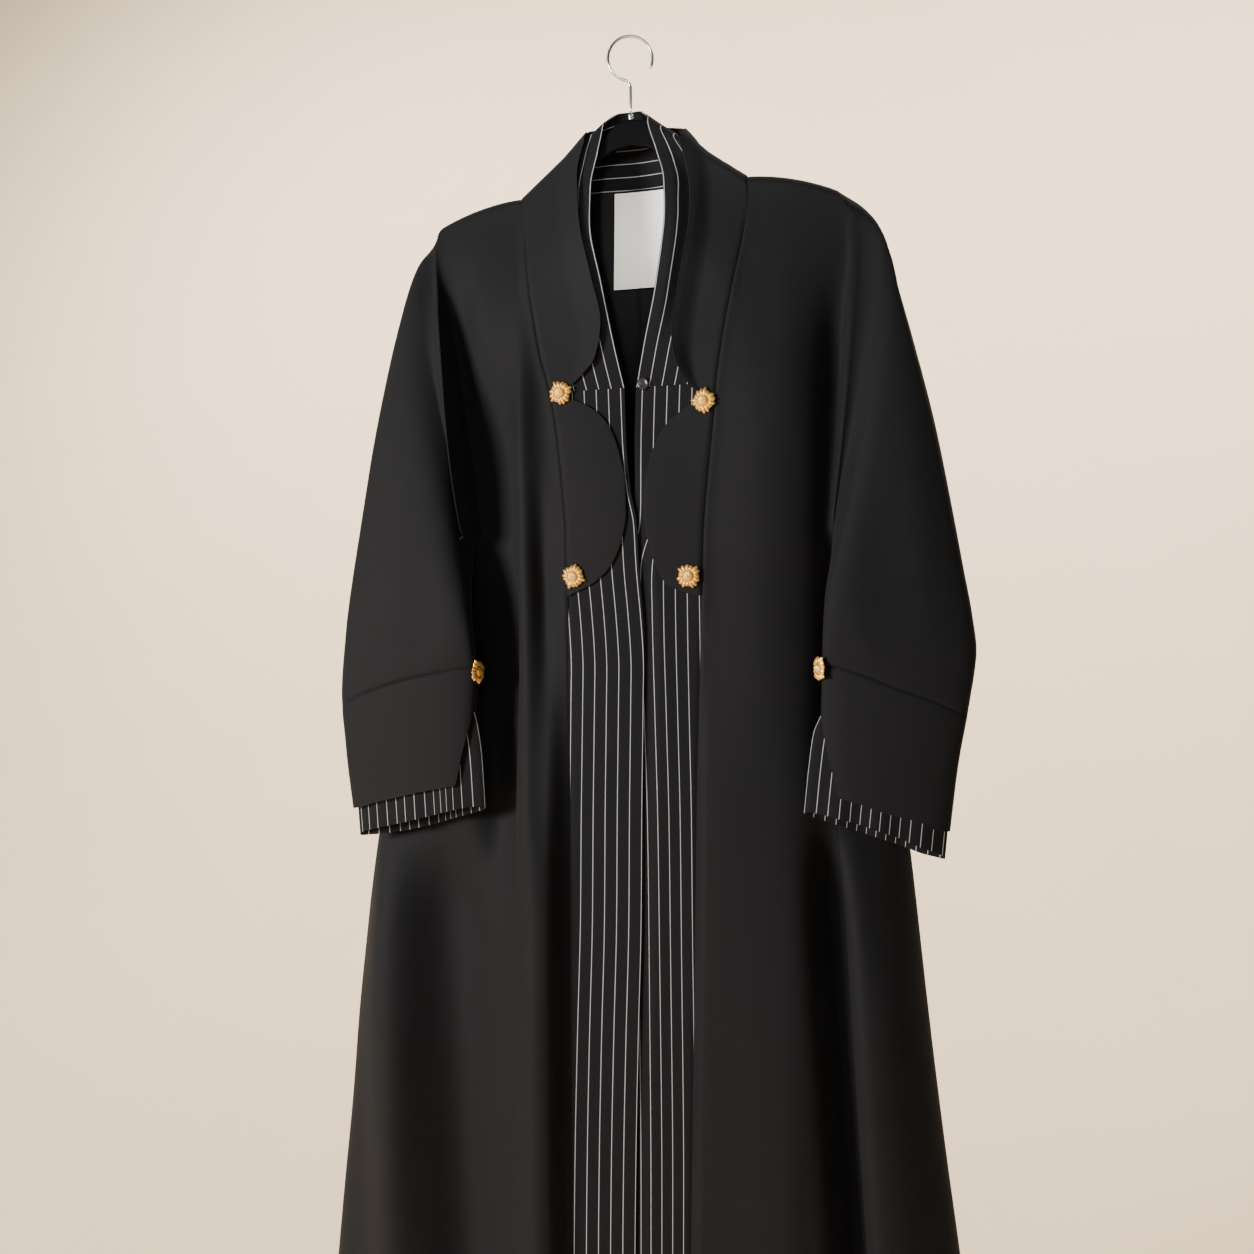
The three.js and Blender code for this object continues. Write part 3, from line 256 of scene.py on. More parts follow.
# How much smaller the under-cuffs are than the cuffs that they are sewn into.
UNDER_CUFF_DRAWN_IN = 2.4
UNDER_CUFF_SET_DOWN = 9
UNDER_CUFF_STEPS = 64
# Half depth down the sleeve, and how far the wrist hangs forward at its outer and inner fold.
TUBE_DEPTH = curves("along sleeve", (0, ARMHOLE_DEPTH), (0.35, 18), (0.7, 16.5), (1, CUFF_DEPTH))
WRIST_FORWARD = (24.0, 40.0)
# How far the sleeve's inner fold comes forward between the armhole and the cuff.
SLEEVE_FOLD_FORWARD = 16.0

# Hanging folds of the body: side, x at the top and foot, half width, how far out, top and foot.
FRONT_FOLDS = (
    ("right", 108, 103, 13, 10, -240, -860), ("right", 148, 144, 18, -15, -270, -860),
    ("right", 91, 88, 9, -6, -400, -660),
    ("right", 186, 170, 19, -15, -120, -700),
    ("right", 96, 93, 22, 12, -700, -1700), ("right", 196, 158, 36, -24, -740, -1700),
    ("right", 270, 226, 34, 20, -740, -1700), ("left", 140, 142, 56, 15, -230, -1700),
    ("left", 200, 189, 15, -17, -205, -760), ("left", 182, 242, 15, -33, -720, -1700),
    ("left", 236, 290, 26, 6, -800, -1700),
)
BACK_FOLDS = (
    ("right", 66, 82, 26, 9, -480, -1700), ("right", 140, 168, 24, -13, -340, -1700),
    ("right", 222, 258, 24, 13, -640, -1700), ("left", 46, 58, 22, -8, -320, -1700),
    ("left", 112, 140, 27, 12, -420, -1700), ("left", 188, 226, 22, -14, -640, -1700),
)

# Smaller creases: x and z at each end in the front view, half width, how far out.
FRONT_CREASES = (
    (-150, -1000, -146, -1500, 9, 1.6), (-126, -700, -128, -1120, 7, 1.2),
    (-226, -860, -238, -1500, 15, -2.4), (128, -560, 142, -1180, 20, -1.8),
    (150, -900, 160, -1540, 12, 2.0), (-168, -190, -152, -420, 12, -1.5),
    (150, -200, 160, -430, 14, 1.4), (-188, -500, -140, -690, 9, -1.8),
    (196, -505, 172, -720, 10, -1.6), (120, -172, 140, -330, 18, -1.0),
)
BACK_CREASES = (
    (-30, -180, -50, -520, 14, -1.6), (36, -190, 52, -470, 12, 1.5),
    (-110, -220, -122, -560, 11, 1.6), (104, -230, 120, -640, 13, -1.9),
    (-176, -500, -128, -720, 11, -1.7), (188, -500, 140, -700, 10, 1.6),
    (-20, -700, -26, -1500, 17, 2.2), (20, -820, 30, -1540, 12, -1.8),
    (-206, -900, -226, -1540, 14, -2.0), (244, -900, 262, -1500, 13, 1.9),
)
SLEEVE_CREASES = {
    -1.0: (
        (-262, -300, -282, -620, 16, -1.2), (-222, -420, -246, -600, 15, 1.4),
        (-196, -500, -214, -640, 12, -1.1), (262, -330, 286, -610, 15, 1.3),
        (228, -400, 250, -600, 18, -1.4), (206, -520, 238, -640, 12, 1.0),
    ),
    1.0: (
        (-250, -300, -270, -600, 15, 1.5), (-210, -400, -225, -620, 13, -1.5),
        (-182, -480, -230, -570, 10, -1.3), (252, -320, 280, -620, 14, -1.5),
        (214, -420, 236, -610, 15, 1.4), (196, -480, 240, -560, 10, -1.2),
    ),
}


def by_side(pair, x, key):
    """A curve's value on the side that x lies on."""
    return np.where(x < 0, pair["right"](key), pair["left"](key))


# ---- the garment's two main surfaces ---------------------------------------------------------------
def tube_round(share, fullness=SLEEVE_FULLNESS):
    """Section of a flat tube: (4 s (1 - s)) to the power of the fullness, 0 at the folds."""
    return np.clip(4 * share * (1 - share), 0, None) ** fullness


def outer_edge(x, z):
    """Distance of the armhole, or of the side seam below it, from the middle line."""
    return np.where(z > UNDERARM_Z, by_side(ARMHOLE, x, z), by_side(SIDE_SEAM, x, z))


def of_side(pair, x):
    """A side's own number, for the side that x lies on."""
    return np.where(x < 0, pair["right"], pair["left"])


def neck_out(x):
    """Distance of the shoulder seam's neck end from the middle line."""
    return of_side(NECK_OUT, x)


def crest_height(x):
    """Height of the line that the cloth folds over: the shoulder seam, a straight slope with a small
    bow, and inside the neck point a straight rise to the top of the band."""
    out, neck, edge = np.abs(x), neck_out(x), of_side(BAND_TOP_OUT, x)
    along = (out - neck) / (SHOULDER_OUT - neck)
    bow = bpy.context.scene.abaya_body.shoulder_bow / MM
    bow = bow * np.sin(np.pi * np.clip(along, 0, 1)) ** 0.7
    collar = mix(NECK_POINT_Z, BAND_TOP_Z, (neck - out) / (neck - edge))
    return np.where(out > neck, mix(NECK_POINT_Z, SHOULDER_Z, along) + bow, collar)


def end_fade(z, z_top, z_foot):
    """1 between two heights, fading to 0 below the upper one and above the lower one."""
    return ramp(-z, -z_top, -z_top + FOLD_FADE) * ramp(z, z_foot, z_foot + FOLD_FADE)


def bell(distance, width):
    """1 in the middle, falling away on both sides as exp(-(d / width) squared)."""
    return np.exp(-((distance / width) ** 2))


def folds_at(folds, x, z):
    """Sum of the hanging folds: each is a bell across a straight middle line, and its ends fade out."""
    depth = bpy.context.scene.abaya_body.fold_depth
    total = np.zeros(np.broadcast(x, z).shape)
    for side, x_top, x_foot, width, rise, z_top, z_foot in folds:
        middle = mix(x_top, x_foot, (z - z_top) / (z_foot - z_top))
        fold = rise * end_fade(z, z_top, z_foot) * bell(np.abs(x) - middle, width)
        total += np.where((x < 0) == (side == "right"), fold, 0.0)
    return total * depth


def creases_at(creases, x, z):
    """Sum of the small creases: a bell across a straight line between two places, times half a sine
    along it."""
    depth = bpy.context.scene.abaya_body.crease_depth
    total = np.zeros(np.broadcast(x, z).shape)
    for x_from, z_from, x_to, z_to, width, rise in creases:
        run_x, run_z = x_to - x_from, z_to - z_from
        length = math.hypot(run_x, run_z)
        along = ((x - x_from) * run_x + (z - z_from) * run_z) / length**2
        across = ((x - x_from) * run_z - (z - z_from) * run_x) / length
        ends = np.sin(np.pi * np.clip(along, 0, 1)) ** 1.5
        total += rise * ends * bell(across, width)
    return total * depth


def steps_at(x, z):
    """The sharp folded edges: out by the rise just past the fold line, dying away as
    exp(-(d / width) squared), and nothing before it."""
    total = np.zeros(np.broadcast(x, z).shape)
    for side, rise, z_top, z_foot, width in FOLD_STEPS:
        past = np.abs(x) - FOLD_LINE[side](z)
        step = ramp(past, -1.1, 0.4) * bell(np.maximum(past, 0), width)
        step = rise * end_fade(z, z_top, z_foot) * step
        total += np.where((x < 0) == (side == "right"), step, 0.0)
    return total * bpy.context.scene.abaya_body.fold_depth


def armhole_depth(z):
    """Half the armhole's opening, front to back: a tube section down the armhole."""
    share = (SHOULDER_Z - z) / (SHOULDER_Z - UNDERARM_Z)
    return np.where((share > 0) & (share < 1), ARMHOLE_DEPTH * tube_round(np.clip(share, 0, 1)), 0.0)


def section_depth(full, edge, share, squareness):
    """Half section: full (1 - share^n)^(1/n), and the edge's own depth, of which a high power of the
    share is added to it."""
    share = np.clip(share, 0, 1)
    round_part = (1 - share**squareness) ** (1 / squareness)
    return full * round_part + edge * (1 - round_part) * share**EDGE_SHARPNESS


def seam_forward(x, z, share):
    """How far the seam beside the sleeve stands forward: nothing at the shoulder, most round the
    underarm, and only close to the seam, as a high power of the share."""
    rise = ramp(-z, 165, 430) * (1 - ramp(-z, 482, 545))
    return of_side(SEAM_FORWARD, x) * rise * np.clip(share, 0, 1) ** EDGE_SHARPNESS


def inside_edge(share, sharpness=FOLD_SHARPNESS):
    """1 over the cloth and 0 at its outer edge: 1 less a power of the share."""
    return 1 - np.clip(share, 0, 1) ** sharpness


def roomy(depth, share):
    """The depth kept above 3 mm by a smooth maximum, so that a deep fold can't meet the other side;
    both the 3 mm and the smoothing over 6 mm fade out at the outer edge."""
    least, smoothing = 3 * inside_edge(share), 6 * inside_edge(share)
    return 0.5 * (depth + least + np.sqrt((depth - least) ** 2 + smoothing**2))


def draped_depth(depth, drop):
    """Depth below the crest: a quarter round, then a smooth ramp to the full depth."""
    left = 1 - np.clip(drop / CREST_RADIUS, 0, 1)
    crest = np.minimum(depth, CREST_RADIUS) * np.sqrt(1 - left * left)
    return crest + np.clip(depth - CREST_RADIUS, 0, None) * ramp(drop, 0, DRAPE_LENGTH)


def seam_dip(distance, depth=1.1, width=1.7):
    """Cloth drawn in at a sewn line: a narrow bell."""
    return depth * bell(distance, width)


def front_point(x, z):
    """Front of the garment: y = setback s squared - depth + seam - the seam's place forward, where s is
    the share of the way from the middle line to the outer edge and the depth has the folds in it."""
    share = np.abs(x) / outer_edge(x, z)
    drop = crest_height(x) - z
    hanging = ramp(drop, 20, 140)
    depth = section_depth(BODY["front"](z), armhole_depth(z), share, BODY["squareness"](z))
    folds = folds_at(FRONT_FOLDS, x, z) + steps_at(x, z) + creases_at(FRONT_CREASES, x, z)
    seam = seam_dip(np.abs(x) - by_side(FRONT_SEAM, x, z)) * ramp(drop, 30, 60)
    depth = draped_depth(depth, drop) + folds * inside_edge(share) * hanging
    depth = mix(depth, roomy(depth, share), hanging)
    y = BODY["setback"](z) * share**2 - depth + seam - seam_forward(x, z, share)
    return np.stack(np.broadcast_arrays(x, y, z), axis=-1)


def back_top(x):
    """Height of the back's top edge: a shallow parabola at the neck, then the shoulder seam."""
    share = np.abs(x) / neck_out(x)
    return np.where(share < 1, BACK_NECK_Z - 11 * share**2, crest_height(x))


def back_point(x, z):
    """Back of the garment: as the front, but it starts at the curved back neck and falls from it."""
    share = np.abs(x) / outer_edge(x, z)
    drop = back_top(x) - z
    depth = section_depth(BODY["back"](z), armhole_depth(z), share, BODY["squareness"](z))
    hanging = ramp(drop, 0, DRAPE_LENGTH)
    over_arm = ramp(np.abs(x), 70, 110)
    draped = mix(depth * hanging, draped_depth(depth, drop), over_arm)
    room = inside_edge(share, 6) * ramp(drop, 20, 140)
    folds = (folds_at(BACK_FOLDS, x, z) + creases_at(BACK_CREASES, x, z)) * room
    neck = 36 * np.clip(1 - (x / neck_out(x)) ** 2, 0, None) ** 0.6 * (1 - hanging)
    seam = seam_dip(x) * ramp(drop, 10, 40)
    y = BODY["setback"](z) * share**2 + neck + draped + folds - seam
    y = y - seam_forward(x, z, share)
    return np.stack(np.broadcast_arrays(x, y, z), axis=-1)


def back_collar_point(side, turn, up):
    """Collar behind the neck: straight lines from the back neck seam (up 0) to the band's top edge
    (up 1), for a turn from the centre back (0) to the side fold (1)."""
    sign = SIDE_SIGN[side]
    edge, other = BAND_TOP_OUT[side], BAND_TOP_OUT["left" if side == "right" else "right"]
    neck = float(neck_out(sign))
    x = sign * neck * np.sin(turn * np.pi / 2)
    seam = back_point(x, back_top(x))
    top_x = sign * mix((edge - other) / 2, edge, turn)
    top_y = 12 * np.cos(turn * np.pi / 2)
    top_z = mix(COLLAR_TOP_Z, BAND_TOP_Z, turn**3)
    top = np.stack(np.broadcast_arrays(top_x, top_y, top_z), axis=-1)
    return mix(seam, top, up[..., None])


# ---- meshes ----------------------------------------------------------------------------------------
def grid_cells(rows, columns, ring):
    """Corners of each cell as vertex numbers, and as numbers on the grid unrolled flat."""
    i, j = np.meshgrid(np.arange(rows - 1), np.arange(columns if ring else columns - 1), indexing="ij")
    wide = columns + 1 if ring else columns
    corners = ((i, j), (i + 1, j), (i + 1, j + 1), (i, j + 1))
    cells = np.stack([a * columns + b % columns for a, b in corners], axis=-1).reshape(-1, 4)
    flat = np.stack([a * wide + b for a, b in corners], axis=-1).reshape(-1, 4)
    return cells, flat


def middle_of(points, ring):
    """Row and column of a place in the middle of a grid, or of the front half of a tube."""
    rows, columns = points.shape[:2]
    return rows // 2, columns // 4 if ring else columns // 2


def grid_normals(points, outward, ring):
    """Unit normals of a grid: the cross product of its central differences down and across."""
    if ring:
        padded = np.concatenate([points[:, -1:], points, points[:, :1]], axis=1)
        across = padded[:, 2:] - padded[:, :-2]
    else:
        across = np.gradient(points, axis=1)
    normals = np.cross(np.gradient(points, axis=0), across)
    normals /= np.maximum(np.linalg.norm(normals, axis=-1, keepdims=True), 1e-9)
    return normals if np.dot(normals[middle_of(points, ring)], outward) > 0 else -normals


def lengths_along(points, axis):
    """Running length of the grid's lines along one axis, from 0."""
    steps = np.linalg.norm(np.diff(points, axis=axis), axis=-1)
    start = np.zeros_like(np.take(steps, [0], axis=axis))
    return np.concatenate([start, np.cumsum(steps, axis=axis)], axis=axis)


def trimmed(points, gap, ring):
    """The grid with each border moved in by the gap, along the lines that meet it."""
    moved = points.copy()
    for axis in (0,) if ring else (0, 1):
        before, after = np.moveaxis(points, axis, 0), np.moveaxis(moved, axis, 0)
        for border, inside in ((0, 1), (-1, -2)):
            step = before[inside] - before[border]
            length = np.maximum(np.linalg.norm(step, axis=-1, keepdims=True), 1e-9)
            after[border] += np.minimum(gap / length, 0.4) * step
    return moved


def new_mesh_object(name, points, faces, corner_uv=None):
    """A smooth-shaded object at the origin from points in millimetres, with its own UV map."""
    mesh = bpy.data.meshes.new(name)
    faces = faces.tolist() if isinstance(faces, np.ndarray) else faces
    mesh.from_pydata((np.asarray(points).reshape(-1, 3) * MM).tolist(), [], faces)
    if corner_uv is not None:
        layer = mesh.uv_layers.new(name="Cloth")
        layer.data.foreach_set("uv", np.asarray(corner_uv, dtype=np.float32).ravel())
    mesh.polygons.foreach_set("use_smooth", np.ones(len(mesh.polygons), dtype=bool))
    mesh.update()
    piece = bpy.data.objects.new(name, mesh)
    bpy.context.scene.collection.objects.link(piece)
    return piece


def finish_piece(piece, material, slot, *nodes):
    """Gives a piece its material and ties it to the frame."""
    piece.data.materials.append(material)
    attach(piece, "root")
    if nodes:
        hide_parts(*nodes)
    return piece


def cloth_panel(
    node, points, outward, material, slot, across=None, ring=False, wall=None, seam_gap=None
):
    """A panel of cloth round a grid of middle points, for a CAD node. Its UV map is in metres: across
    the cloth, or from a line where stripes follow one, and down it."""
    body = bpy.context.scene.abaya_body
    gap = body.seam_gap / MM if seam_gap is None else seam_gap
    points = trimmed(points, gap / 2, ring)
    rows, columns = points.shape[:2]
    cells, flat = grid_cells(rows, columns, ring)
    middle = middle_of(points, ring)
    normal = grid_normals(points, outward, ring)[middle]
    quad = points.reshape(-1, 3)[cells[len(cells) // 2 + middle[1]]]
    if np.dot(np.cross(quad[2] - quad[0], quad[3] - quad[1]), normal) < 0:
        cells, flat = cells[:, ::-1], flat[:, ::-1]
    closed = np.concatenate([points, points[:, :1]], axis=1) if ring else points
    u = lengths_along(closed, 1) if across is None else across
    v = lengths_along(closed, 0)
    uv = np.stack([u, v], axis=-1).reshape(-1, 2)[flat.ravel()] * MM
    piece = new_mesh_object("cloth_" + node, points, cells, uv)
    shell = piece.modifiers.new("Cloth wall", "SOLIDIFY")
    shell.thickness = wall if wall is not None else body.cloth_wall
    shell.offset = 0.0
    shell.use_quality_normals = True
    rim = piece.modifiers.new("Pressed edge", "BEVEL")
    rim.width = shell.thickness * 0.36
    rim.segments = 2
    rim.limit_method = "ANGLE"
    rim.angle_limit = math.radians(50)
    rim.harden_normals = True
    return finish_piece(piece, material, slot, node)


# ---- rows and columns shared by the panels ---------------------------------------------------------
# Heights of numbered rows: row 0 lies on the crest, and these three have names.
CROSS_SEAM_ROW = 6
UNDERARM_ROW = 10
HEM_ROW = 23
BODY_ROWS = (-498, -530, -575, -630, -700, -780, -865, -960, -1070, -1180, -1300, -1420, HEM_Z)
SEAM_ROWS = (-146, -153, -172, -200, -235, -280, CROSS_SEAM_Z, -385, -425, -455, -478)
EDGE_ROWS = (-78, -86, -112, -142, -180, -238, CROSS_SEAM_Z)
ARMHOLE_ROWS = mix(SHOULDER_Z, UNDERARM_Z, (1 - np.cos(np.pi * np.arange(11) / 10)) / 2)
OUTER_ROWS = np.concatenate([ARMHOLE_ROWS, BODY_ROWS])
INNER_ROWS = np.concatenate([SEAM_ROWS, BODY_ROWS]).astype(float)
CENTRE_BACK_ROWS = np.concatenate([
    (BACK_NECK_Z, BACK_NECK_Z + ARMHOLE_ROWS[1] - ARMHOLE_ROWS[0]),
    (-168, -204, -242, -284, -328, -372, -414, -450, UNDERARM_Z), BODY_ROWS,
])


# Closest over the crest, where the cloth turns.
CREST_STEPS = 1 - np.cos(np.linspace(0, np.pi / 2, 9))


def edged_shares(count, start=(0, 0.01), end=(0.99, 1)):
    """Even shares, with closer ones at both ends."""
    return np.concatenate([start, np.linspace(0.03, 0.97, count), end])


def at_rows(table, row):
    """A short list's value at fractional row numbers."""
    return np.interp(row, np.arange(len(table)), table)


def body_row_numbers():
    """Fractional rows from the crest to the hem, closest at both."""
    over_armhole = np.linspace(1, UNDERARM_ROW, 72)[1:]
    below = np.linspace(UNDERARM_ROW, HEM_ROW - 0.1, 150)[1:]
    return np.concatenate([CREST_STEPS, over_armhole, below, [22.93, 22.99, HEM_ROW]])


def column_shares(count):
    """Shares across from the inner to the outer edge, closest at the outer edge."""
    even = np.linspace(0, 1, count)
    shares = 0.35 * even + 0.65 * np.sin(even * np.pi / 2)
    return np.sort(np.concatenate([shares, [0.004, 0.9985]]))


def hem_rise(x, row):
    """The hem's curve up towards the side seams, fading out over the last rows."""
    return 8 * (x / 350) ** 2 * ramp(row, HEM_ROW - 1.5, HEM_ROW)


def front_grid(side):
    """Front from its seam to the armhole and side seam: straight rows between the two edges."""
    row = body_row_numbers()[:, None]
    even = np.linspace(0, 1, 40)
    half = 0.3 * even + 0.7 * even**2 * (3 - 2 * even)
    share = np.sort(np.concatenate([half / 2, (1 + half[1:]) / 2, [0.002, 0.9985]]))[None, :]
    z_inner, z_outer = at_rows(INNER_ROWS, row), at_rows(OUTER_ROWS, row)
    sign = SIDE_SIGN[side]
    seam, outer = FRONT_SEAM[side](z_inner), outer_edge(sign, z_outer)
    fold = FOLD_LINE[side](mix(z_inner, z_outer, 0.4))
    fold = mix((seam + outer) / 2, fold, ramp(-z_inner, 200, 330))
    x = np.where(share < 0.5, mix(seam, fold, 2 * share), mix(fold, outer, 2 * share - 1))
    across = (x - seam) / (outer - seam)
    x = sign * x
    straight = mix(NECK_POINT_Z, SHOULDER_Z, (np.abs(x) - neck_out(x)) / (SHOULDER_OUT - neck_out(x)))
    bow = (crest_height(x) - straight) * (1 - ramp(row, 0, 3)) * (np.abs(x) > neck_out(x))
    points = front_point(x, mix(z_inner, z_outer, across) + bow + hem_rise(x, row))
    beyond, z = np.abs(points[..., 0]) - FRONT_SEAM[side](points[..., 2]), points[..., 2]
    rise, width, top = SEAM_ROLLS[side]
    roll = rise * ramp(beyond, 0, width) * bell(np.maximum(beyond - width, 0), 30)
    at_lapel = 1.35 * bell(beyond, 7) * ramp(z, -575, -545) * ramp(row, 0, 3)
    points[..., 1] -= roll * ramp(-z, -top, 150 - top) + at_lapel
    return points


def back_grid(side):
    """Back from the centre seam out. The top rows follow the neck and shoulder, the rest are even."""
    row = body_row_numbers()[:, None]
    number = 12 * column_shares(90)[None, :]
    sign = SIDE_SIGN[side]
    neck = neck_out(sign)
    shoulder = mix(neck, SHOULDER_OUT, (number - 5) / 7)
    top_x = np.where(number <= 5, neck * np.sin(np.minimum(number, 5) / 5 * np.pi / 2), shoulder)
    fade = np.interp(row, range(6), (1, 1, 0.7, 0.4, 0.15, 0))
    z_inner, z_outer = at_rows(CENTRE_BACK_ROWS, row), at_rows(OUTER_ROWS, row)
    edge = outer_edge(sign, z_outer)
    out = mix(edge * number / 12, top_x * edge / SHOULDER_OUT, fade)
    bow = back_top(sign * top_x) - mix(BACK_NECK_Z, SHOULDER_Z, top_x / SHOULDER_OUT)
    z = mix(z_inner, z_outer, out / edge) + bow * fade + hem_rise(out, row)
    return back_point(sign * out, z)


def distance_from_edge(points):
    """Distance from the line of the last column: the length along each row, times the sine of the
    angle at which the row meets that line."""
    run = lengths_along(points[:, ::-1], 1)[:, ::-1]
    along = np.gradient(points[:, -1], axis=0)
    row = points[:, -4] - points[:, -1]
    turn = np.linalg.norm(np.cross(along, row), axis=-1)
    turn /= np.linalg.norm(along, axis=-1) * np.linalg.norm(row, axis=-1)
    smooth = np.convolve(np.pad(turn, 6, mode="edge"), np.full(13, 1 / 13), mode="valid")
    return run * smooth[:, None]


def band_front(side, row, share):
    """Front of the neck band: straight lines from the front seam (share 0) to the neck edge (1)."""
    z_seam, z_edge = at_rows(SEAM_ROWS[: len(EDGE_ROWS)], row), at_rows(EDGE_ROWS, row)
    x = SIDE_SIGN[side] * mix(FRONT_SEAM[side](z_seam), NECK_EDGE[side](z_edge), share)
    return front_point(x, mix(z_seam, z_edge, share))


def neck_band_grid():
    """Band up the right front, over the side fold, round the neck and down the left front."""
    share = edged_shares(30)[None, :]
    front_rows = np.concatenate([CREST_STEPS, np.linspace(1, CROSS_SEAM_ROW, 80)[1:]])
    turns = np.linspace(0, 1, 40)
    halves = {}
    for side in SIDE_SIGN:
        front = band_front(side, front_rows[:, None], share)
        out, z = np.abs(front[..., 0]), front[..., 2]
        edge = NECK_EDGE[side](z)
        under = ramp(out, edge + 9, edge + 24) * ramp(FRONT_SEAM[side](z) - out, 2, 22)
        front[..., 1] += BAND_RECESS[side] * under * ramp(-z, 100, 150) * ramp(z, -310, -240)
        back = back_collar_point(side, turns[:, None], share + 0 * turns[:, None])
        halves[side] = np.concatenate([back[:-1], front])
    return np.concatenate([halves["right"][::-1], halves["left"][1:]])


def inset_grid(side):
    """Inset from the front seam to its centre edge, down to the hem. The left one slips under."""
    upper = np.linspace(CROSS_SEAM_ROW, UNDERARM_ROW, 60)
    row = np.concatenate([upper, np.linspace(UNDERARM_ROW, HEM_ROW, 220)[1:]])[:, None]
    z = at_rows(INNER_ROWS, row)
    x = mix(SIDE_SIGN[side] * FRONT_SEAM[side](z), INSET_EDGE[side](z), edged_shares(34)[None, :])
    points = front_point(x, z + hem_rise(x, row))
    if side == "left":
        under = ramp(-z, 380, 440) * ramp(INSET_EDGE["right"](z) + 16 - x, 0, 12)
        points[..., 1] += LAYER * 1.4 * under
    return points


def lapel_rows(row, column):
    """Lapel table at fractional rows: a Catmull-Rom curve through one of its columns."""
    values = np.array([entry[column] for entry in LAPEL_ROWS], dtype=float)
    i = np.clip(row.astype(int), 0, len(values) - 2)
    t = row - i
    before, first, second, after = (
        values[np.clip(i + shift, 0, len(values) - 1)] for shift in (-1, 0, 1, 2)
    )
    return 0.5 * (
        2 * first + (second - before) * t + (2 * before - 5 * first + 4 * second - after) * t**2
        + (3 * first - before - 3 * second + after) * t**3
    )


def lapel_grid(side):
    """Lapel from the centre back round the collar and down the front, before it is lifted."""
    share = edged_shares(34, end=(0.985, 0.995, 1))[None, :]
    sign = SIDE_SIGN[side]
    first = 1 if side == "right" else 3
    neck = NECK_OUT[side]
    turn = np.linspace(0, 1, 44)[:, None]
    cover = mix(0.8, (neck - LAPEL_ROWS[0][first]) / (neck - BAND_TOP_OUT[side]), turn**2)
    back = back_collar_point(side, turn, cover * share)
    down = np.linspace(1, len(LAPEL_ROWS) - 1, 120)[1:]
    row = np.concatenate([CREST_STEPS, down])[:, None]
    z_start = lapel_rows(row, 0)
    z_seam = z_start - ramp(-z_start, 235, 343) * LAPEL_FOOT_DROP[side]
    x = sign * mix(FRONT_SEAM[side](z_seam), lapel_rows(row, first), share)
    z = mix(z_seam, lapel_rows(row, first + 1), share)
    z = np.where(row == 0, crest_height(x), z)
    return np.concatenate([back[:-1], front_point(x, z)])


def scallop_grid(side):
    """Lower lapel from the front seam out to its half-ellipse edge."""
    top, foot = SCALLOP_ENDS[side]
    z = mix(top, foot, (1 - np.cos(np.linspace(0, np.pi, 130))) / 2)[:, None]
    share = edged_shares(28, end=(0.985, 0.995, 1))[None, :]
    seam = FRONT_SEAM[side](z) - 0.3
    edge = np.minimum(SCALLOP_EDGE[side](z), seam - 4)
    return front_point(SIDE_SIGN[side] * mix(seam, edge, share), z)


def lifted(points, amount):
    """The grid moved forward along its normals."""
    return points + grid_normals(points, FRONTWARD, False) * amount[..., None]


# ---- sleeves and cuffs -----------------------------------------------------------------------------
def tube_steps(count=56):
    """Shares and faces round a tube: down the front from the outer fold to the inner, back behind."""
    share = (1 - np.cos(np.linspace(0, np.pi, count - 1))) / 2
    share = np.sort(np.append(share, 0.863))
    shares = np.concatenate([share, share[1:-1][::-1]])
    faces = np.concatenate([-np.ones(count), np.ones(count - 2)])
    return shares[None, :], faces[None, :]


def cuff_span(side):
    """Distances out of the cuff seam's outer and inner ends."""
    outer = float(SLEEVE_OUTER[side](CUFF_SEAM[side](0.0)))
    inner = float(SLEEVE_INNER[side](CUFF_SEAM[side](1.0)))
    return outer, inner


def sleeve_outline(side, along, share):
    """A place in the sleeve seen from the front, blended from its four edges (a Coons patch)."""
    seam_out, seam_in = float(CUFF_SEAM[side](0.0)), float(CUFF_SEAM[side](1.0))
    z_out = mix(SHOULDER_Z, seam_out, 0.6 * along + 0.4 * along**2)
    z_in = mix(UNDERARM_Z, seam_in, along)
    z_arm = mix(SHOULDER_Z, UNDERARM_Z, share)
    top, underarm = (float(ARMHOLE[side](z)) for z in (SHOULDER_Z, UNDERARM_Z))
    outer, inner = cuff_span(side)
    x = (
        mix(SLEEVE_OUTER[side](z_out), SLEEVE_INNER[side](z_in), share)
        + mix(ARMHOLE[side](z_arm), mix(outer, inner, share), along)
        - mix(mix(top, underarm, share), mix(outer, inner, share), along)
    )
    z = (
        mix(z_out, z_in, share)
        + mix(z_arm, CUFF_SEAM[side](share), along)
        - mix(mix(SHOULDER_Z, UNDERARM_Z, share), mix(seam_out, seam_in, share), along)
    )
    return x, z


def wrist_forward(side, out):
    """How far the wrist hangs in front of the middle plane, more at its inner fold."""
    outer, inner = cuff_span(side)
    return mix(*WRIST_FORWARD, (outer - out) / (outer - inner))


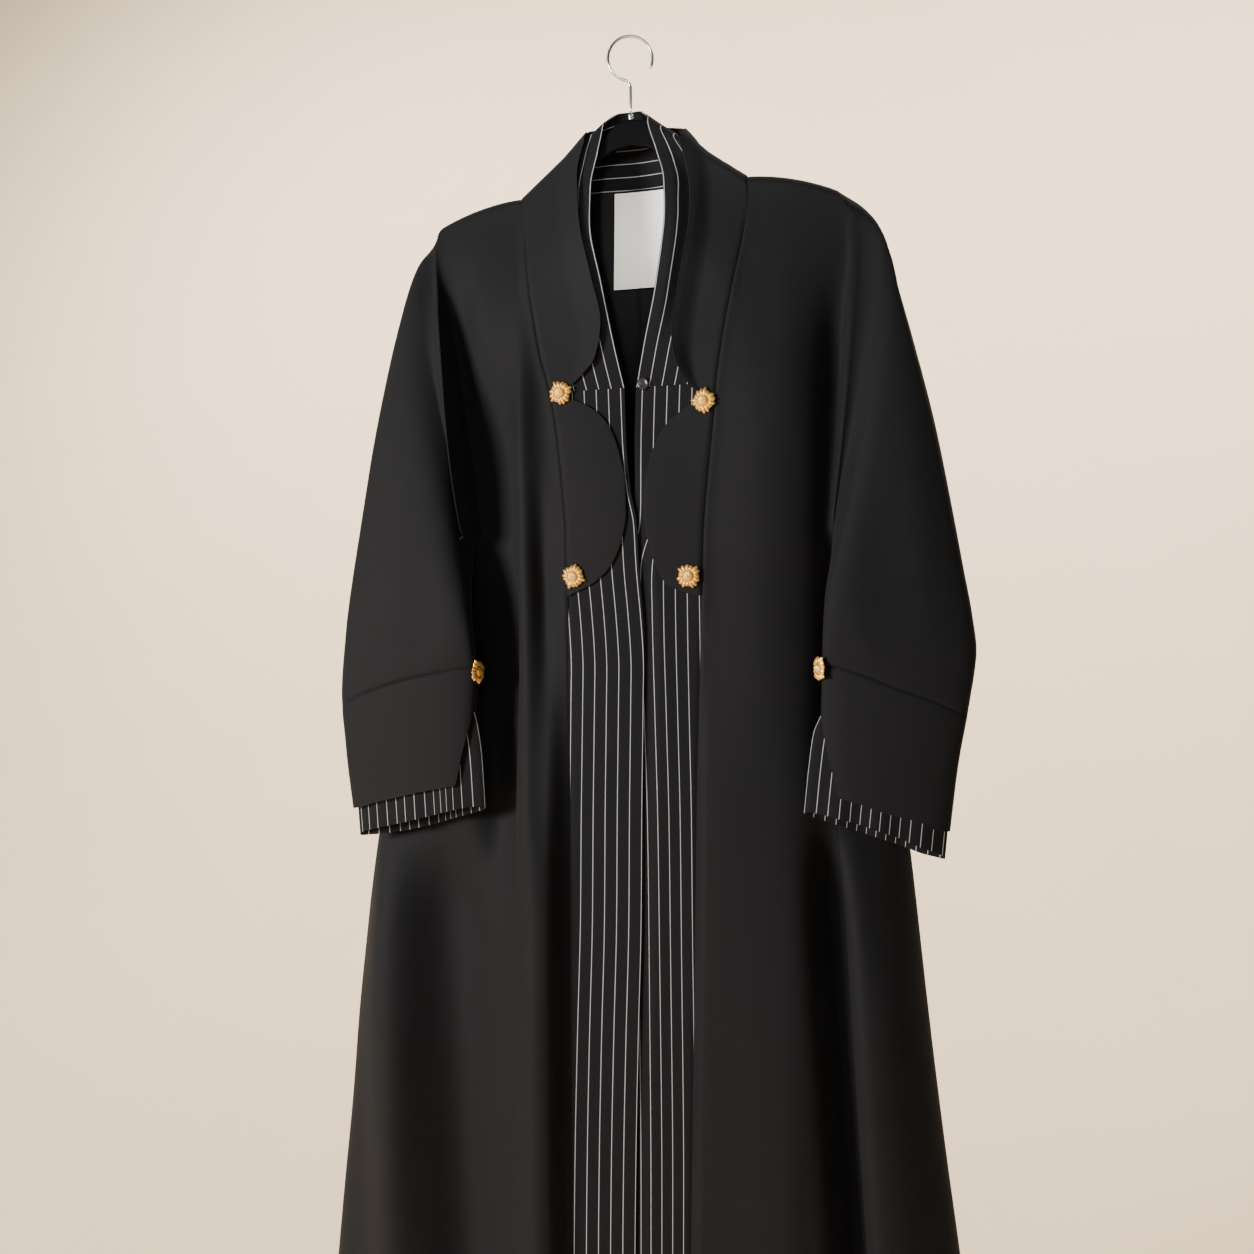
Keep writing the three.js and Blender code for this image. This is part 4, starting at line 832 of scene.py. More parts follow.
def sleeve_grid(side):
    """Sleeve: a flat tube that leaves the armhole's own section and hangs forward to the wrist."""
    at_cuff = (0.9945, 0.9965, 0.9983, 1.0)
    along = np.concatenate([[0, 0.003], np.linspace(0.01, 0.99, 110), at_cuff])[:, None]
    share, face = tube_steps()
    sign = SIDE_SIGN[side]
    arm_out, arm_z = sleeve_outline(side, np.zeros((1, 1)), share)
    seam = np.where(
        face < 0, front_point(sign * arm_out, arm_z)[..., 1], back_point(sign * arm_out, arm_z)[..., 1]
    )
    out, z = sleeve_outline(side, along, share)
    forward = wrist_forward(side, mix(*cuff_span(side), share)) * along**0.8
    section = tube_round(share, mix(SLEEVE_FULLNESS, CUFF_FULLNESS, along))
    hanging = face * TUBE_DEPTH["sleeve"](along) * section - forward
    hanging = hanging - SLEEVE_FOLD_FORWARD * share**1.5 * np.sin(np.pi * along) ** 0.7
    y = mix(seam, hanging, ramp(along, 0, 0.12))
    room = section * ramp(along, 0.03, 0.15) * (1 - ramp(along, 0.9, 1.0))
    for which, creases in SLEEVE_CREASES.items():
        y = y + np.where(face == which, which * creases_at(creases, sign * out, z) * room, 0.0)
    from_armhole, from_cuff = 420 * along, 430 * (1 - along)
    seams = seam_dip(from_armhole - 5, 1.1, 4) - seam_dip(from_cuff, 1.5, 1.5)
    y = y + face * seams * section
    return np.stack([sign * out, y, z], axis=-1)


def cuff_grid(side):
    """Cuff: a flat tube from its curved seam to a hem that is cut up to a point at the inner fold."""
    down = np.concatenate([[0, 0.006, 0.012, 0.02], np.linspace(0.035, 0.97, 34), [0.99, 1]])[:, None]
    share, face = tube_steps(72)
    back_drop = np.where(face > 0, 4 * np.sin(np.pi * share), 0.0)
    z = mix(CUFF_SEAM[side](share), CUFF_HEM[side](share) - back_drop, down)
    outer_z = mix(CUFF_SEAM[side](0.0), CUFF_HEM[side](0.0), down)
    inner_z = mix(CUFF_SEAM[side](1.0), CUFF_HEM[side](1.0), down)
    out = mix(SLEEVE_OUTER[side](outer_z), SLEEVE_INNER[side](inner_z), share)
    depth = CUFF_DEPTH - seam_dip(110 * down, 1.5, 1.5)
    y = face * depth * tube_round(share, CUFF_FULLNESS) - wrist_forward(side, out)
    return np.stack(np.broadcast_arrays(SIDE_SIGN[side] * out, y, z), axis=-1)


def under_cuff_grid(side):
    """Under-cuff: sewn inside the cuff's top edge, it narrows and hangs out below the cuff."""
    down = edged_shares(44, start=(0, 0.008))[:, None]
    share, face = tube_steps(UNDER_CUFF_STEPS)
    outer, inner = cuff_span(side)
    middle = (outer + inner) / 2
    shrink = 1 - UNDER_CUFF_DRAWN_IN / ((outer - inner) / 2)
    top_out = middle + (mix(outer, inner, share) - middle) * shrink
    top_depth = (CUFF_DEPTH - UNDER_CUFF_DRAWN_IN) * tube_round(share, CUFF_FULLNESS)
    top_z = CUFF_SEAM[side](share) - UNDER_CUFF_SET_DOWN
    hem_z = UNDER_CUFF_HEM[side](share) - tube_round(share) * np.where(face > 0, 2.5, -7.5)
    z = mix(top_z, hem_z, down)
    fold_z = mix(CUFF_SEAM[side](1.0) - UNDER_CUFF_SET_DOWN, UNDER_CUFF_HEM[side](1.0), down)
    hang_out = mix(mix(*UNDER_CUFF_OUTER[side], down), UNDER_CUFF_INNER[side](fold_z), share)
    wave = 1.4 * np.sin(2 * np.pi * (3.3 * share + 0.25 * face)) * down
    hang_depth = (mix(8, 9.5, down) + wave) * tube_round(share, 0.58)
    leaving = np.clip(down / 0.25, 0, 1)
    out = mix(top_out, hang_out, leaving)
    y = face * mix(top_depth, hang_depth, leaving) - wrist_forward(side, out)
    return np.stack(np.broadcast_arrays(SIDE_SIGN[side] * out, y, z), axis=-1)


def under_cuff_stripes(side, points):
    """Distance round the under-cuff's hem from a stripe beside its inner fold, counted longer where
    the cloth is gathered: 1.05 and, in the middle of the gathers, as much again as is given."""
    hem = np.concatenate([points[-1], points[-1][:1]])
    share, _ = tube_steps(UNDER_CUFF_STEPS)
    share = np.append(share[0], share[0, :1])
    middle, width, much = STRIPE_GATHER[side]
    longer = 1.05 + much * bell(share - middle, width)
    steps = lengths_along(hem[None], 1)[0]
    run = np.concatenate([[0], np.cumsum(np.diff(steps) * (longer[1:] + longer[:-1]) / 2)])
    return run - run[np.argmax(share)] + 1.5


# ---- small shapes ----------------------------------------------------------------------------------
def turned(profile, spokes=48):
    """A profile of radius and height turned about the Z axis: closed where its radius is 0."""
    profile = np.array(profile, dtype=float)
    angle = np.linspace(0, 2 * np.pi, spokes, endpoint=False)
    points = np.stack([
        profile[:, :1] * np.cos(angle), profile[:, :1] * np.sin(angle),
        profile[:, 1:] + 0 * angle,
    ], axis=-1)
    return points, grid_cells(len(profile), spokes, True)[0]


def seated(points, place, direction):
    """Points built on +Z, moved to a place and turned to face a direction."""
    turn = Vector((0, 0, 1)).rotation_difference(Vector(direction)).to_matrix()
    return np.asarray(points).reshape(-1, 3) @ np.array(turn).T + np.asarray(place)


def front_seat(x, z, reach, under):
    """Place and direction of a button on the front: clear of the highest cloth under its rim."""
    across = front_point(np.array(x + 6.0), np.array(z)) - front_point(np.array(x - 6.0), np.array(z))
    down = front_point(np.array(x), np.array(z - 6.0)) - front_point(np.array(x), np.array(z + 6.0))
    normal = np.cross(down, across)
    normal /= np.linalg.norm(normal)
    middle = front_point(np.array(x), np.array(z))
    angle = np.arange(12) * np.pi / 6
    rim = front_point(x + reach * np.cos(angle), z + reach * np.sin(angle))
    lift = max(0.0, float(((rim - middle) @ normal).max())) + under
    return middle + normal * lift, normal


def fan(tip, ring, flipped=False):
    """Triangles from one point to a closed ring of points, given by their numbers."""
    following = np.roll(ring, -1)
    pair = (following, ring) if flipped else (ring, following)
    return np.stack([np.full_like(ring, tip), *pair], axis=-1).tolist()


def sunburst_relief(seed):
    """Top of a cast sunburst button: a domed middle, a groove, and a ring of ridged petals that fall to
    the rim. Returns the angles, the rim's and each ring's distance out, the heights, and a painted
    shade from 0 in the hollows to 1 on the heights, standing in for the light and shade on the relief."""
    button = bpy.context.scene.abaya_buttons
    radius, height, petals = button.radius / MM, button.height / MM, button.petals
    angle = np.linspace(0, 2 * np.pi, petals * 12, endpoint=False)[None, :]
    uneven = 0.5 * np.sin(3 * angle + seed) + 0.4 * np.sin(5 * angle + 2.3 * seed)
    wave = np.abs(np.cos(petals * (angle + 0.3 * uneven / petals * 2) / 2))
    tip = wave**0.7
    long_short = 0.09 * np.sin(4 * angle + seed) + 0.07 * np.sin(7 * angle + 3.1 * seed)
    outline = radius * (0.85 + 0.17 * tip) * (1 + long_short * tip)
    share = np.concatenate([np.linspace(0, 0.97, 30), [1.0]])[1:, None]
    reach = share * outline
    dome = 0.47 * radius
    inside = np.clip(1 - (reach / dome) ** 2, 0, None) ** 0.5
    grains = 0.32 * np.cos(5.1 * reach) * np.cos(9 * angle + 2.2 * reach) * (inside > 0.05)
    out = np.clip((reach - dome) / (outline - dome), 0, 1)
    ridge = 0.7 * (wave**1.6 - 0.5) * np.sin(np.pi * out) ** 0.6
    petal = 3.2 + 1.0 * np.sin(np.pi * np.clip(out * 0.95, 0, 1)) - 1.7 * out + ridge
    groove = 0.7 * bell(reach - dome, 0.5)
    top = np.where(reach < dome, height * 0.46 + height * 0.54 * inside + grains, petal) - groove
    # Painted shade and highlight: lighter on the petals' ridges and the grains, darker in the groove.
    painted_shade = np.clip(0.55 + 0.5 * ridge + 0.4 * grains - 0.45 * groove, 0, 1)
    return angle, outline, reach, top, painted_shade


def sunburst(seed):
    """A cast sunburst button on Z = 0: its points, its faces and the points' painted shade."""
    angle, outline, reach, top, painted_shade = sunburst_relief(seed)
    ring = np.stack([reach * np.cos(angle), reach * np.sin(angle), top], axis=-1)
    skirt = np.stack([outline * np.cos(angle), outline * np.sin(angle), 0.9 + 0 * angle], axis=-1)
    foot = np.stack([0.9 * skirt[..., 0], 0.9 * skirt[..., 1], 0.05 + 0 * angle], axis=-1)
    rings = np.concatenate([ring, skirt, foot])
    rows, spokes = rings.shape[:2]
    crown_z = bpy.context.scene.abaya_buttons.height / MM + 0.2
    points = np.concatenate([rings.reshape(-1, 3), [[0, 0, crown_z], [0, 0, 0.05]]])
    first = np.arange(spokes)
    crown = fan(rows * spokes, first)
    sole = fan(rows * spokes + 1, first + (rows - 1) * spokes, flipped=True)
    # Painted shade on the skirt and, darkest, on the foot under the rim, where the button shades
    # itself.
    painted_shades = np.concatenate([painted_shade, 0 * skirt[..., 0] + 0.3, 0 * skirt[..., 0]]).ravel()
    faces = grid_cells(rows, spokes, True)[0].tolist() + crown + sole
    # Painted shade for the crown's tip (light) and for the sole (dark).
    return points, faces, np.append(painted_shades, [0.8, 0.0])


def wire(path, radius, spokes=14):
    """A round section of one radius carried along a path that lies in the plane y = 0."""
    path = np.asarray(path, dtype=float)
    tangent = np.gradient(path, axis=0)
    tangent /= np.linalg.norm(tangent, axis=-1, keepdims=True)
    side = np.cross(tangent, (0.0, 1.0, 0.0))
    angle = np.linspace(0, 2 * np.pi, spokes, endpoint=False)[None, :, None]
    grow = radius * np.sqrt(np.clip(1 - np.linspace(1, 0, 4)[:3] ** 2, 0.02, 1))
    sizes = np.full(len(path), radius)
    sizes[:3], sizes[-3:] = grow, grow[::-1]
    ring = np.cos(angle) * side[:, None] + np.sin(angle) * np.array([0.0, 1.0, 0.0])
    points = path[:, None] + sizes[:, None, None] * ring
    points = np.concatenate([points.reshape(-1, 3), path[:1], path[-1:]])
    first = np.arange(spokes)
    start = fan(len(points) - 2, first, flipped=True)
    stop = fan(len(points) - 1, first + (len(path) - 1) * spokes)
    return points, grid_cells(len(path), spokes, True)[0].tolist() + start + stop


def hook_path():
    """Hook: straight up the stem, a small bend to the side, then round over the rail and down."""
    radius, fillet, thick, stem_foot_z = 21.5, 7.0, 3.0, -73.7
    centre = thick / 2 - radius
    low = centre - math.sqrt((radius + fillet) ** 2 - fillet**2)
    turn = math.atan2(centre - low, fillet)
    stem_z = np.linspace(stem_foot_z, low, 8)[:-1]
    stem = np.stack([0 * stem_z, 0 * stem_z, stem_z], axis=-1)
    a = np.linspace(0, turn, 16)
    small = np.stack([fillet * np.cos(a) - fillet, 0 * a, low + fillet * np.sin(a)], axis=-1)
    b = np.linspace(turn - math.pi, math.radians(-28) - 2 * math.pi, 70)[1:]
    bend = np.stack([radius * np.cos(b), 0 * b, centre + radius * np.sin(b)], axis=-1)
    return np.concatenate([stem, small, bend])


def turned_about_z(points, degrees):
    """Points turned about the Z axis."""
    c, s = math.cos(math.radians(degrees)), math.sin(math.radians(degrees))
    return np.asarray(points) @ np.array([[c, s, 0], [-s, c, 0], [0, 0, 1]])


# ---- materials -------------------------------------------------------------------------------------
def new_group(name, inputs, outputs):
    """An empty shader group with named sockets; returns it with its input and output nodes."""
    group = bpy.data.node_groups.new(name, "ShaderNodeTree")
    for label, value in inputs:
        socket = group.interface.new_socket(label, in_out="INPUT", socket_type="NodeSocketFloat")
        socket.default_value = value
    for label in outputs:
        group.interface.new_socket(label, in_out="OUTPUT", socket_type="NodeSocketFloat")
    return group, group.nodes.new("NodeGroupInput"), group.nodes.new("NodeGroupOutput")


def calculate(tree, operation, *values):
    """A Math node whose inputs are numbers or sockets; returns its output."""
    node = tree.nodes.new("ShaderNodeMath")
    node.operation = operation
    for socket, value in zip(node.inputs, values):
        if isinstance(value, (int, float)):
            socket.default_value = value
        else:
            tree.links.new(value, socket)
    return node.outputs[0]


def cloth_uv(tree):
    """The cloth's UV map in metres: its own socket, and the sockets of its u and v."""
    uv = tree.nodes.new("ShaderNodeUVMap")
    uv.uv_map = "Cloth"
    split = tree.nodes.new("ShaderNodeSeparateXYZ")
    tree.links.new(uv.outputs[0], split.inputs[0])
    return uv.outputs[0], split.outputs[0], split.outputs[1]


def weave_group():
    """Cloth grain from the UV map in metres: a crossed thread pattern broken up by uneven noise.
    Tone varies round 0.5 and Height goes from 0 to 1."""
    group, given, result = new_group(
        "Cloth grain", [("Threads per metre", 1800.0), ("Unevenness", 0.5)], ["Tone", "Height"]
    )
    place, u, v = cloth_uv(group)
    turns = calculate(group, "MULTIPLY", given.outputs[0], 2 * math.pi)
    warp = calculate(group, "SINE", calculate(group, "MULTIPLY", u, turns))
    weft = calculate(group, "SINE", calculate(group, "MULTIPLY", v, turns))
    threads = calculate(group, "MULTIPLY_ADD", calculate(group, "MULTIPLY", warp, weft), 0.5, 0.5)
    noises = []
    for scale, detail in ((900.0, 2.0), (35.0, 3.0)):
        noise = group.nodes.new("ShaderNodeTexNoise")
        noise.inputs["Scale"].default_value = scale
        noise.inputs["Detail"].default_value = detail
        group.links.new(place, noise.inputs["Vector"])
        noises.append(noise.outputs["Fac"])
    pebble = calculate(group, "MULTIPLY", noises[0], given.outputs[1])
    height = calculate(group, "ADD", calculate(group, "MULTIPLY", threads, 0.5), pebble)
    tone = calculate(group, "MULTIPLY_ADD", height, 0.5, calculate(group, "MULTIPLY", noises[1], 0.5))
    group.links.new(tone, result.inputs["Tone"])
    group.links.new(height, result.inputs["Height"])
    return group


def stripe_group():
    """Pinstripes at whole multiples of the pitch from the UV map's u = 0 line. Mask is 1 on a stripe
    and is broken up along it by the threads."""
    group, given, result = new_group(
        "Pinstripes", [("Pitch", 0.0122), ("Width", 0.0015), ("Threads per metre", 1100.0)], ["Mask"]
    )
    _, u, v = cloth_uv(group)
    number = calculate(group, "DIVIDE", u, given.outputs["Pitch"])
    nearest = calculate(group, "ROUND", number)
    off = calculate(group, "ABSOLUTE", calculate(group, "SUBTRACT", number, nearest))
    away = calculate(group, "MULTIPLY", off, given.outputs["Pitch"])
    edge = calculate(group, "DIVIDE", away, given.outputs["Width"])
    solid = calculate(group, "SUBTRACT", 1.35, calculate(group, "MULTIPLY", edge, 2.2))
    solid = calculate(group, "MINIMUM", calculate(group, "MAXIMUM", solid, 0.0), 1.0)
    turns = calculate(group, "MULTIPLY", given.outputs["Threads per metre"], 2 * math.pi)
    beads = calculate(group, "SINE", calculate(group, "MULTIPLY", v, turns))
    beads = calculate(group, "MULTIPLY_ADD", beads, 0.12, 0.88)
    group.links.new(calculate(group, "MULTIPLY", solid, beads), result.inputs["Mask"])
    return group


def surface_group():
    """Fine unevenness of a hard surface from Object coordinates: Grain round 0.5."""
    group, given, result = new_group("Surface grain", [("Size", 900.0)], ["Grain"])
    place = group.nodes.new("ShaderNodeTexCoord")
    noise = group.nodes.new("ShaderNodeTexNoise")
    noise.inputs["Detail"].default_value = 4.0
    group.links.new(place.outputs["Object"], noise.inputs["Vector"])
    group.links.new(given.outputs[0], noise.inputs["Scale"])
    group.links.new(noise.outputs["Fac"], result.inputs["Grain"])
    return group


def shared_group(name, make):
    """The named group, made the first time it is asked for."""
    return bpy.data.node_groups.get(name) or make()


def use_group(tree, group, **values):
    """A group placed in a material, with some inputs set; spaces in names are given as _."""
    node = tree.nodes.new("ShaderNodeGroup")
    node.node_tree = group
    for label, value in values.items():
        node.inputs[label.replace("_", " ")].default_value = value
    return node


def blend_colours(tree, share, first, second):
    """A colour blend driven by a share; first and second are colours or sockets."""
    node = tree.nodes.new("ShaderNodeMix")
    node.data_type = "RGBA"
    tree.links.new(share, node.inputs["Factor"])
    for socket, value in ((node.inputs["A"], first), (node.inputs["B"], second)):
        sockets = [s for s in node.inputs if s.name == socket.name and s.type == "RGBA"]
        if isinstance(value, bpy.types.NodeSocket):
            tree.links.new(value, sockets[0])
        else:
            sockets[0].default_value = (*value[:3], 1.0)
    return next(s for s in node.outputs if s.type == "RGBA")


def raise_bumps(tree, shader, height, strength, distance):
    """Feeds a height through a Bump node into the shader's normal."""
    bump = tree.nodes.new("ShaderNodeBump")
    bump.inputs["Strength"].default_value = strength
    bump.inputs["Distance"].default_value = distance
    tree.links.new(height, bump.inputs["Height"])
    tree.links.new(bump.outputs["Normal"], shader.inputs["Normal"])


def new_material(name, **values):
    """A material with its shader's own sockets set; spaces in their names are given as _."""
    material = bpy.data.materials.new(name)
    material.use_nodes = True
    shader = material.node_tree.nodes["Principled BSDF"]
    for label, value in values.items():
        shader.inputs[label.replace("_", " ")].default_value = value
    return material, material.node_tree, shader


def spread(tree, value, low, high):
    """A 0 to 1 value moved to a range."""
    return calculate(tree, "MULTIPLY_ADD", value, high - low, low)


def crepe_material():
    """Black crepe: near black with a fine dull grain, a little paler at grazing angles."""
    colours = bpy.context.scene.abaya_colours
    material, tree, shader = new_material(
        "Black crepe", Sheen_Weight=0.035, Sheen_Roughness=0.45, Specular_IOR_Level=0.1
    )
    grain = use_group(tree, shared_group("Cloth grain", weave_group), Threads_per_metre=1500.0)
    base = np.array(colours.crepe)
    colour = blend_colours(tree, grain.outputs["Tone"], base * 0.72, base * 1.28)
    tree.links.new(colour, shader.inputs["Base Color"])
    tree.links.new(spread(tree, grain.outputs["Tone"], 0.62, 0.8), shader.inputs["Roughness"])
    raise_bumps(tree, shader, grain.outputs["Height"], 0.22, 0.0003)
    return material


def pinstripe_material():
    """Dark suiting with pale stripes that follow the cloth's edge."""
    colours = bpy.context.scene.abaya_colours
    material, tree, shader = new_material(
        "Pinstriped suiting", Sheen_Weight=0.02, Sheen_Roughness=0.45, Specular_IOR_Level=0.08
    )
    grain = use_group(tree, shared_group("Cloth grain", weave_group), Threads_per_metre=1300.0)
    stripes = use_group(
        tree, shared_group("Pinstripes", stripe_group), Pitch=colours.stripe_pitch,
        Width=colours.stripe_width,
    )
    base = np.array(colours.suiting)
    ground = blend_colours(tree, grain.outputs["Tone"], base * 0.7, base * 1.3)
    colour = blend_colours(tree, stripes.outputs["Mask"], ground, colours.stripe)
    tree.links.new(colour, shader.inputs["Base Color"])
    tree.links.new(spread(tree, grain.outputs["Tone"], 0.66, 0.84), shader.inputs["Roughness"])
    raised = calculate(
        tree, "ADD", grain.outputs["Height"], calculate(tree, "MULTIPLY", stripes.outputs["Mask"], 0.5)
    )
    raise_bumps(tree, shader, raised, 0.25, 0.0003)
    return material


def label_material():
    """Cream woven satin, left blank, with a thin paler border stitched round it."""
    colours = bpy.context.scene.abaya_colours
    material, tree, shader = new_material("Woven label", Sheen_Weight=0.1, Specular_IOR_Level=0.4)
    grain = use_group(tree, shared_group("Cloth grain", weave_group), Threads_per_metre=2200.0)
    base = np.array(colours.label)
    colour = blend_colours(tree, grain.outputs["Tone"], base * 0.94, np.minimum(base * 1.05, 1))
    _, u, v = cloth_uv(tree)
    inside = []
    for place, half in zip((u, v), LABEL_HALF_SIZE):
        from_middle = calculate(tree, "ABSOLUTE", calculate(tree, "SUBTRACT", place, half))
        inside.append(calculate(tree, "SUBTRACT", half - LABEL_LINE_IN, from_middle))
    nearest = calculate(tree, "ABSOLUTE", calculate(tree, "MINIMUM", *inside))
    line = calculate(tree, "LESS_THAN", nearest, LABEL_LINE_HALF)
    bordered = blend_colours(tree, calculate(tree, "MULTIPLY", line, 0.35), colour, base * 0.6)
    tree.links.new(bordered, shader.inputs["Base Color"])
    tree.links.new(spread(tree, grain.outputs["Tone"], 0.42, 0.6), shader.inputs["Roughness"])
    raise_bumps(tree, shader, grain.outputs["Height"], 0.15, 0.0002)
    return material


def gold_material():
    """Cast gold-coloured metal with painted shade: full gold on the heights, darker and browner in the
    hollows and under the rim.
    """
    colours = bpy.context.scene.abaya_colours
    material, tree, shader = new_material("Cast gold metal", Metallic=0.72)
    # The points' painted shade blends from a shaded brown-gold in the hollows to the full gold on the
    # heights.
    painted_shade = tree.nodes.new("ShaderNodeAttribute")
    painted_shade.attribute_name = "Painted height shade"
    grain = use_group(tree, shared_group("Surface grain", surface_group), Size=1400.0)
    base = np.array(colours.gold)
    colour = blend_colours(tree, painted_shade.outputs["Fac"], base * np.array([0.62, 0.5, 0.4]), base)
    tree.links.new(colour, shader.inputs["Base Color"])
    tree.links.new(spread(tree, grain.outputs["Grain"], 0.3, 0.5), shader.inputs["Roughness"])
    raise_bumps(tree, shader, grain.outputs["Grain"], 0.3, 0.0002)
    return material


def hard_material(name, colour, rough, size, metallic=0.0, bump=0.1, shine=0.5):
    """A hard finish: one colour with fine tone, roughness and height grain."""
    material, tree, shader = new_material(name, Metallic=metallic, Specular_IOR_Level=shine)
    grain = use_group(tree, shared_group("Surface grain", surface_group), Size=size)
    base = np.array(colour)
    tone = blend_colours(tree, grain.outputs["Grain"], base * 0.8, np.minimum(base * 1.2, 1))
    tree.links.new(tone, shader.inputs["Base Color"])
    tree.links.new(spread(tree, grain.outputs["Grain"], *rough), shader.inputs["Roughness"])
    raise_bumps(tree, shader, grain.outputs["Grain"], bump, 0.0002)
    return material


def finish_named(name, make):
    """The named material, made the first time it is asked for."""
    return bpy.data.materials.get(name) or make()


def crepe():
    """The black crepe of the body, sleeves, cuffs, lapels and scallops."""
    return finish_named("Black crepe", crepe_material)


def pinstripe():
    """The striped suiting of the insets, under-cuffs and neck band."""
    return finish_named("Pinstriped suiting", pinstripe_material)


# ---- settings --------------------------------------------------------------------------------------
class AbayaBodySettings(bpy.types.PropertyGroup):
    """Sizes of the cloth and its folds."""

    cloth_wall: bpy.props.FloatProperty(
        name="Cloth wall", description="Thickness of one layer of cloth", default=0.0013,
        min=0.0003, max=0.003, precision=4, unit="LENGTH",
    )
    seam_gap: bpy.props.FloatProperty(
        name="Seam gap", description="Gap between two panels at a seam", default=0.0001,
        min=0.0, max=0.002, precision=4, unit="LENGTH",
    )
    shoulder_bow: bpy.props.FloatProperty(
        name="Shoulder bow", description="Rise of the shoulder seam above a straight slope",
        default=0.0055, min=0.0, max=0.01, precision=4, unit="LENGTH",
    )
    fold_depth: bpy.props.FloatProperty(
        name="Fold depth", description="Share of the hanging folds' depth", default=1.0,
        min=0.0, max=1.3, subtype="FACTOR",
    )
    crease_depth: bpy.props.FloatProperty(
        name="Crease depth", description="Share of the small creases' depth", default=1.0,
        min=0.0, max=2.0, subtype="FACTOR",
    )
    lapel_roll: bpy.props.FloatProperty(
        name="Lapel roll", description="How far the lapels' inner edges stand off the band",
        default=0.0095, min=0.0, max=0.014, precision=4, unit="LENGTH",
    )


def colour_setting(name, description, default):
    """A colour of three numbers from 0 to 1."""
    return bpy.props.FloatVectorProperty(
        name=name, description=description, default=default, min=0.0, max=1.0, size=3,
        subtype="COLOR",
    )


class AbayaColourSettings(bpy.types.PropertyGroup):
    """Colours, and the stripes of the suiting."""

    crepe: colour_setting("Crepe", "Colour of the black crepe", (0.0066, 0.0068, 0.0077))
    suiting: colour_setting(
        "Suiting", "Ground colour of the striped cloth", (0.0060, 0.0061, 0.0070)
    )
    stripe: colour_setting("Stripe", "Colour of the stripes", (0.40, 0.40, 0.42))
    stripe_pitch: bpy.props.FloatProperty(
        name="Stripe pitch", description="Distance between stripes", default=0.0122,
        min=0.004, max=0.04, precision=4, unit="LENGTH",
    )
    stripe_width: bpy.props.FloatProperty(
        name="Stripe width", description="Width of a stripe", default=0.00085,
        min=0.0004, max=0.006, precision=4, unit="LENGTH",
    )
    label: colour_setting("Label", "Colour of the neck label", (0.90, 0.87, 0.84))
    gold: colour_setting("Gold", "Colour of the cast buttons", (1.0, 0.62, 0.15))
    dark_button: colour_setting(
        "Neck button", "Colour of the small neck button", (0.02, 0.016, 0.02)
    )
    hanger: colour_setting("Hanger", "Colour of the hanger's body", (0.0016, 0.0016, 0.002))
    steel: colour_setting("Wire", "Colour of the hook and ferrule", (0.66, 0.67, 0.69))
    floor: colour_setting("Floor", "Colour of the floor", (0.80, 0.62, 0.43))


class AbayaButtonSettings(bpy.types.PropertyGroup):
    """Sizes of the cast buttons."""

    radius: bpy.props.FloatProperty(
        name="Radius", description="Radius over the petals' tips", default=0.011,
        min=0.006, max=0.011, precision=4, unit="LENGTH",
    )
    height: bpy.props.FloatProperty(
        name="Height", description="Height of the domed middle", default=0.0058,
        min=0.002, max=0.0065, precision=4, unit="LENGTH",
    )
    petals: bpy.props.IntProperty(
        name="Petals", description="Number of petals", default=15, min=8, max=24
    )


class AbayaStageSettings(bpy.types.PropertyGroup):
    """Sizes and strengths of the stage."""

    floor_height: bpy.props.FloatProperty(
        name="Floor height", description="Height of the floor below the rail", default=-1.75,
        max=-1.6, unit="LENGTH",
    )
    key_power: bpy.props.FloatProperty(
        name="Key light", description="Power of the large soft light", default=210.0, min=0.0,
        unit="POWER",
    )
    fill_power: bpy.props.FloatProperty(
        name="Fill light", description="Power of the fill light", default=16.0, min=0.0,
        unit="POWER",
    )
    backdrop_power: bpy.props.FloatProperty(
        name="Backdrop lights", description="Power of each light on the backdrop", default=350.0,
        min=0.0, unit="POWER",
    )
    neck_power: bpy.props.FloatProperty(
        name="Neck light", description="Power of the spot light into the neck opening", default=92.0,
        min=0.0, unit="POWER",
    )
    sky: bpy.props.FloatProperty(
        name="Sky", description="Strength of the even light all round", default=0.11, min=0.0
    )


# ---- operators -------------------------------------------------------------------------------------
class ABAYA_OT_fronts(bpy.types.Operator):
    """Build the two fronts, from the shoulder seam to the hem"""

    bl_idname = "abaya.fronts"
    bl_label = "Fronts"

    def execute(self, context):
        for side in SIDE_SIGN:
            cloth_panel(f"front_{side}", front_grid(side), FRONTWARD, crepe(), "crepe")
        return {"FINISHED"}


class ABAYA_OT_backs(bpy.types.Operator):
    """Build the two backs, joined down the centre"""

    bl_idname = "abaya.backs"
    bl_label = "Backs"

    def execute(self, context):
        for side in SIDE_SIGN:
            cloth_panel(f"back_{side}", back_grid(side), BACKWARD, crepe(), "crepe")
        return {"FINISHED"}


class ABAYA_OT_sleeves(bpy.types.Operator):
    """Build the sleeves, flat tubes from the armholes to the cuff seams"""

    bl_idname = "abaya.sleeves"
    bl_label = "Sleeves"

    def execute(self, context):
        for side in SIDE_SIGN:
            cloth_panel(
                f"sleeve_{side}", sleeve_grid(side), FRONTWARD, crepe(), "crepe", ring=True
            )
        return {"FINISHED"}


class ABAYA_OT_cuffs(bpy.types.Operator):
    """Build the cuffs, and the pinstriped under-cuffs inside them"""

    bl_idname = "abaya.cuffs"
    bl_label = "Cuffs"

    def execute(self, context):
        for side in SIDE_SIGN:
            cloth_panel(
                f"cuff_{side}", cuff_grid(side), FRONTWARD, crepe(), "crepe", ring=True, seam_gap=1.0
            )
            points = under_cuff_grid(side)
            across = np.repeat(under_cuff_stripes(side, points)[None], len(points), axis=0)
            cloth_panel(
                f"under_cuff_{side}", points, FRONTWARD, pinstripe(), "pinstripe", across, ring=True
            )
        return {"FINISHED"}


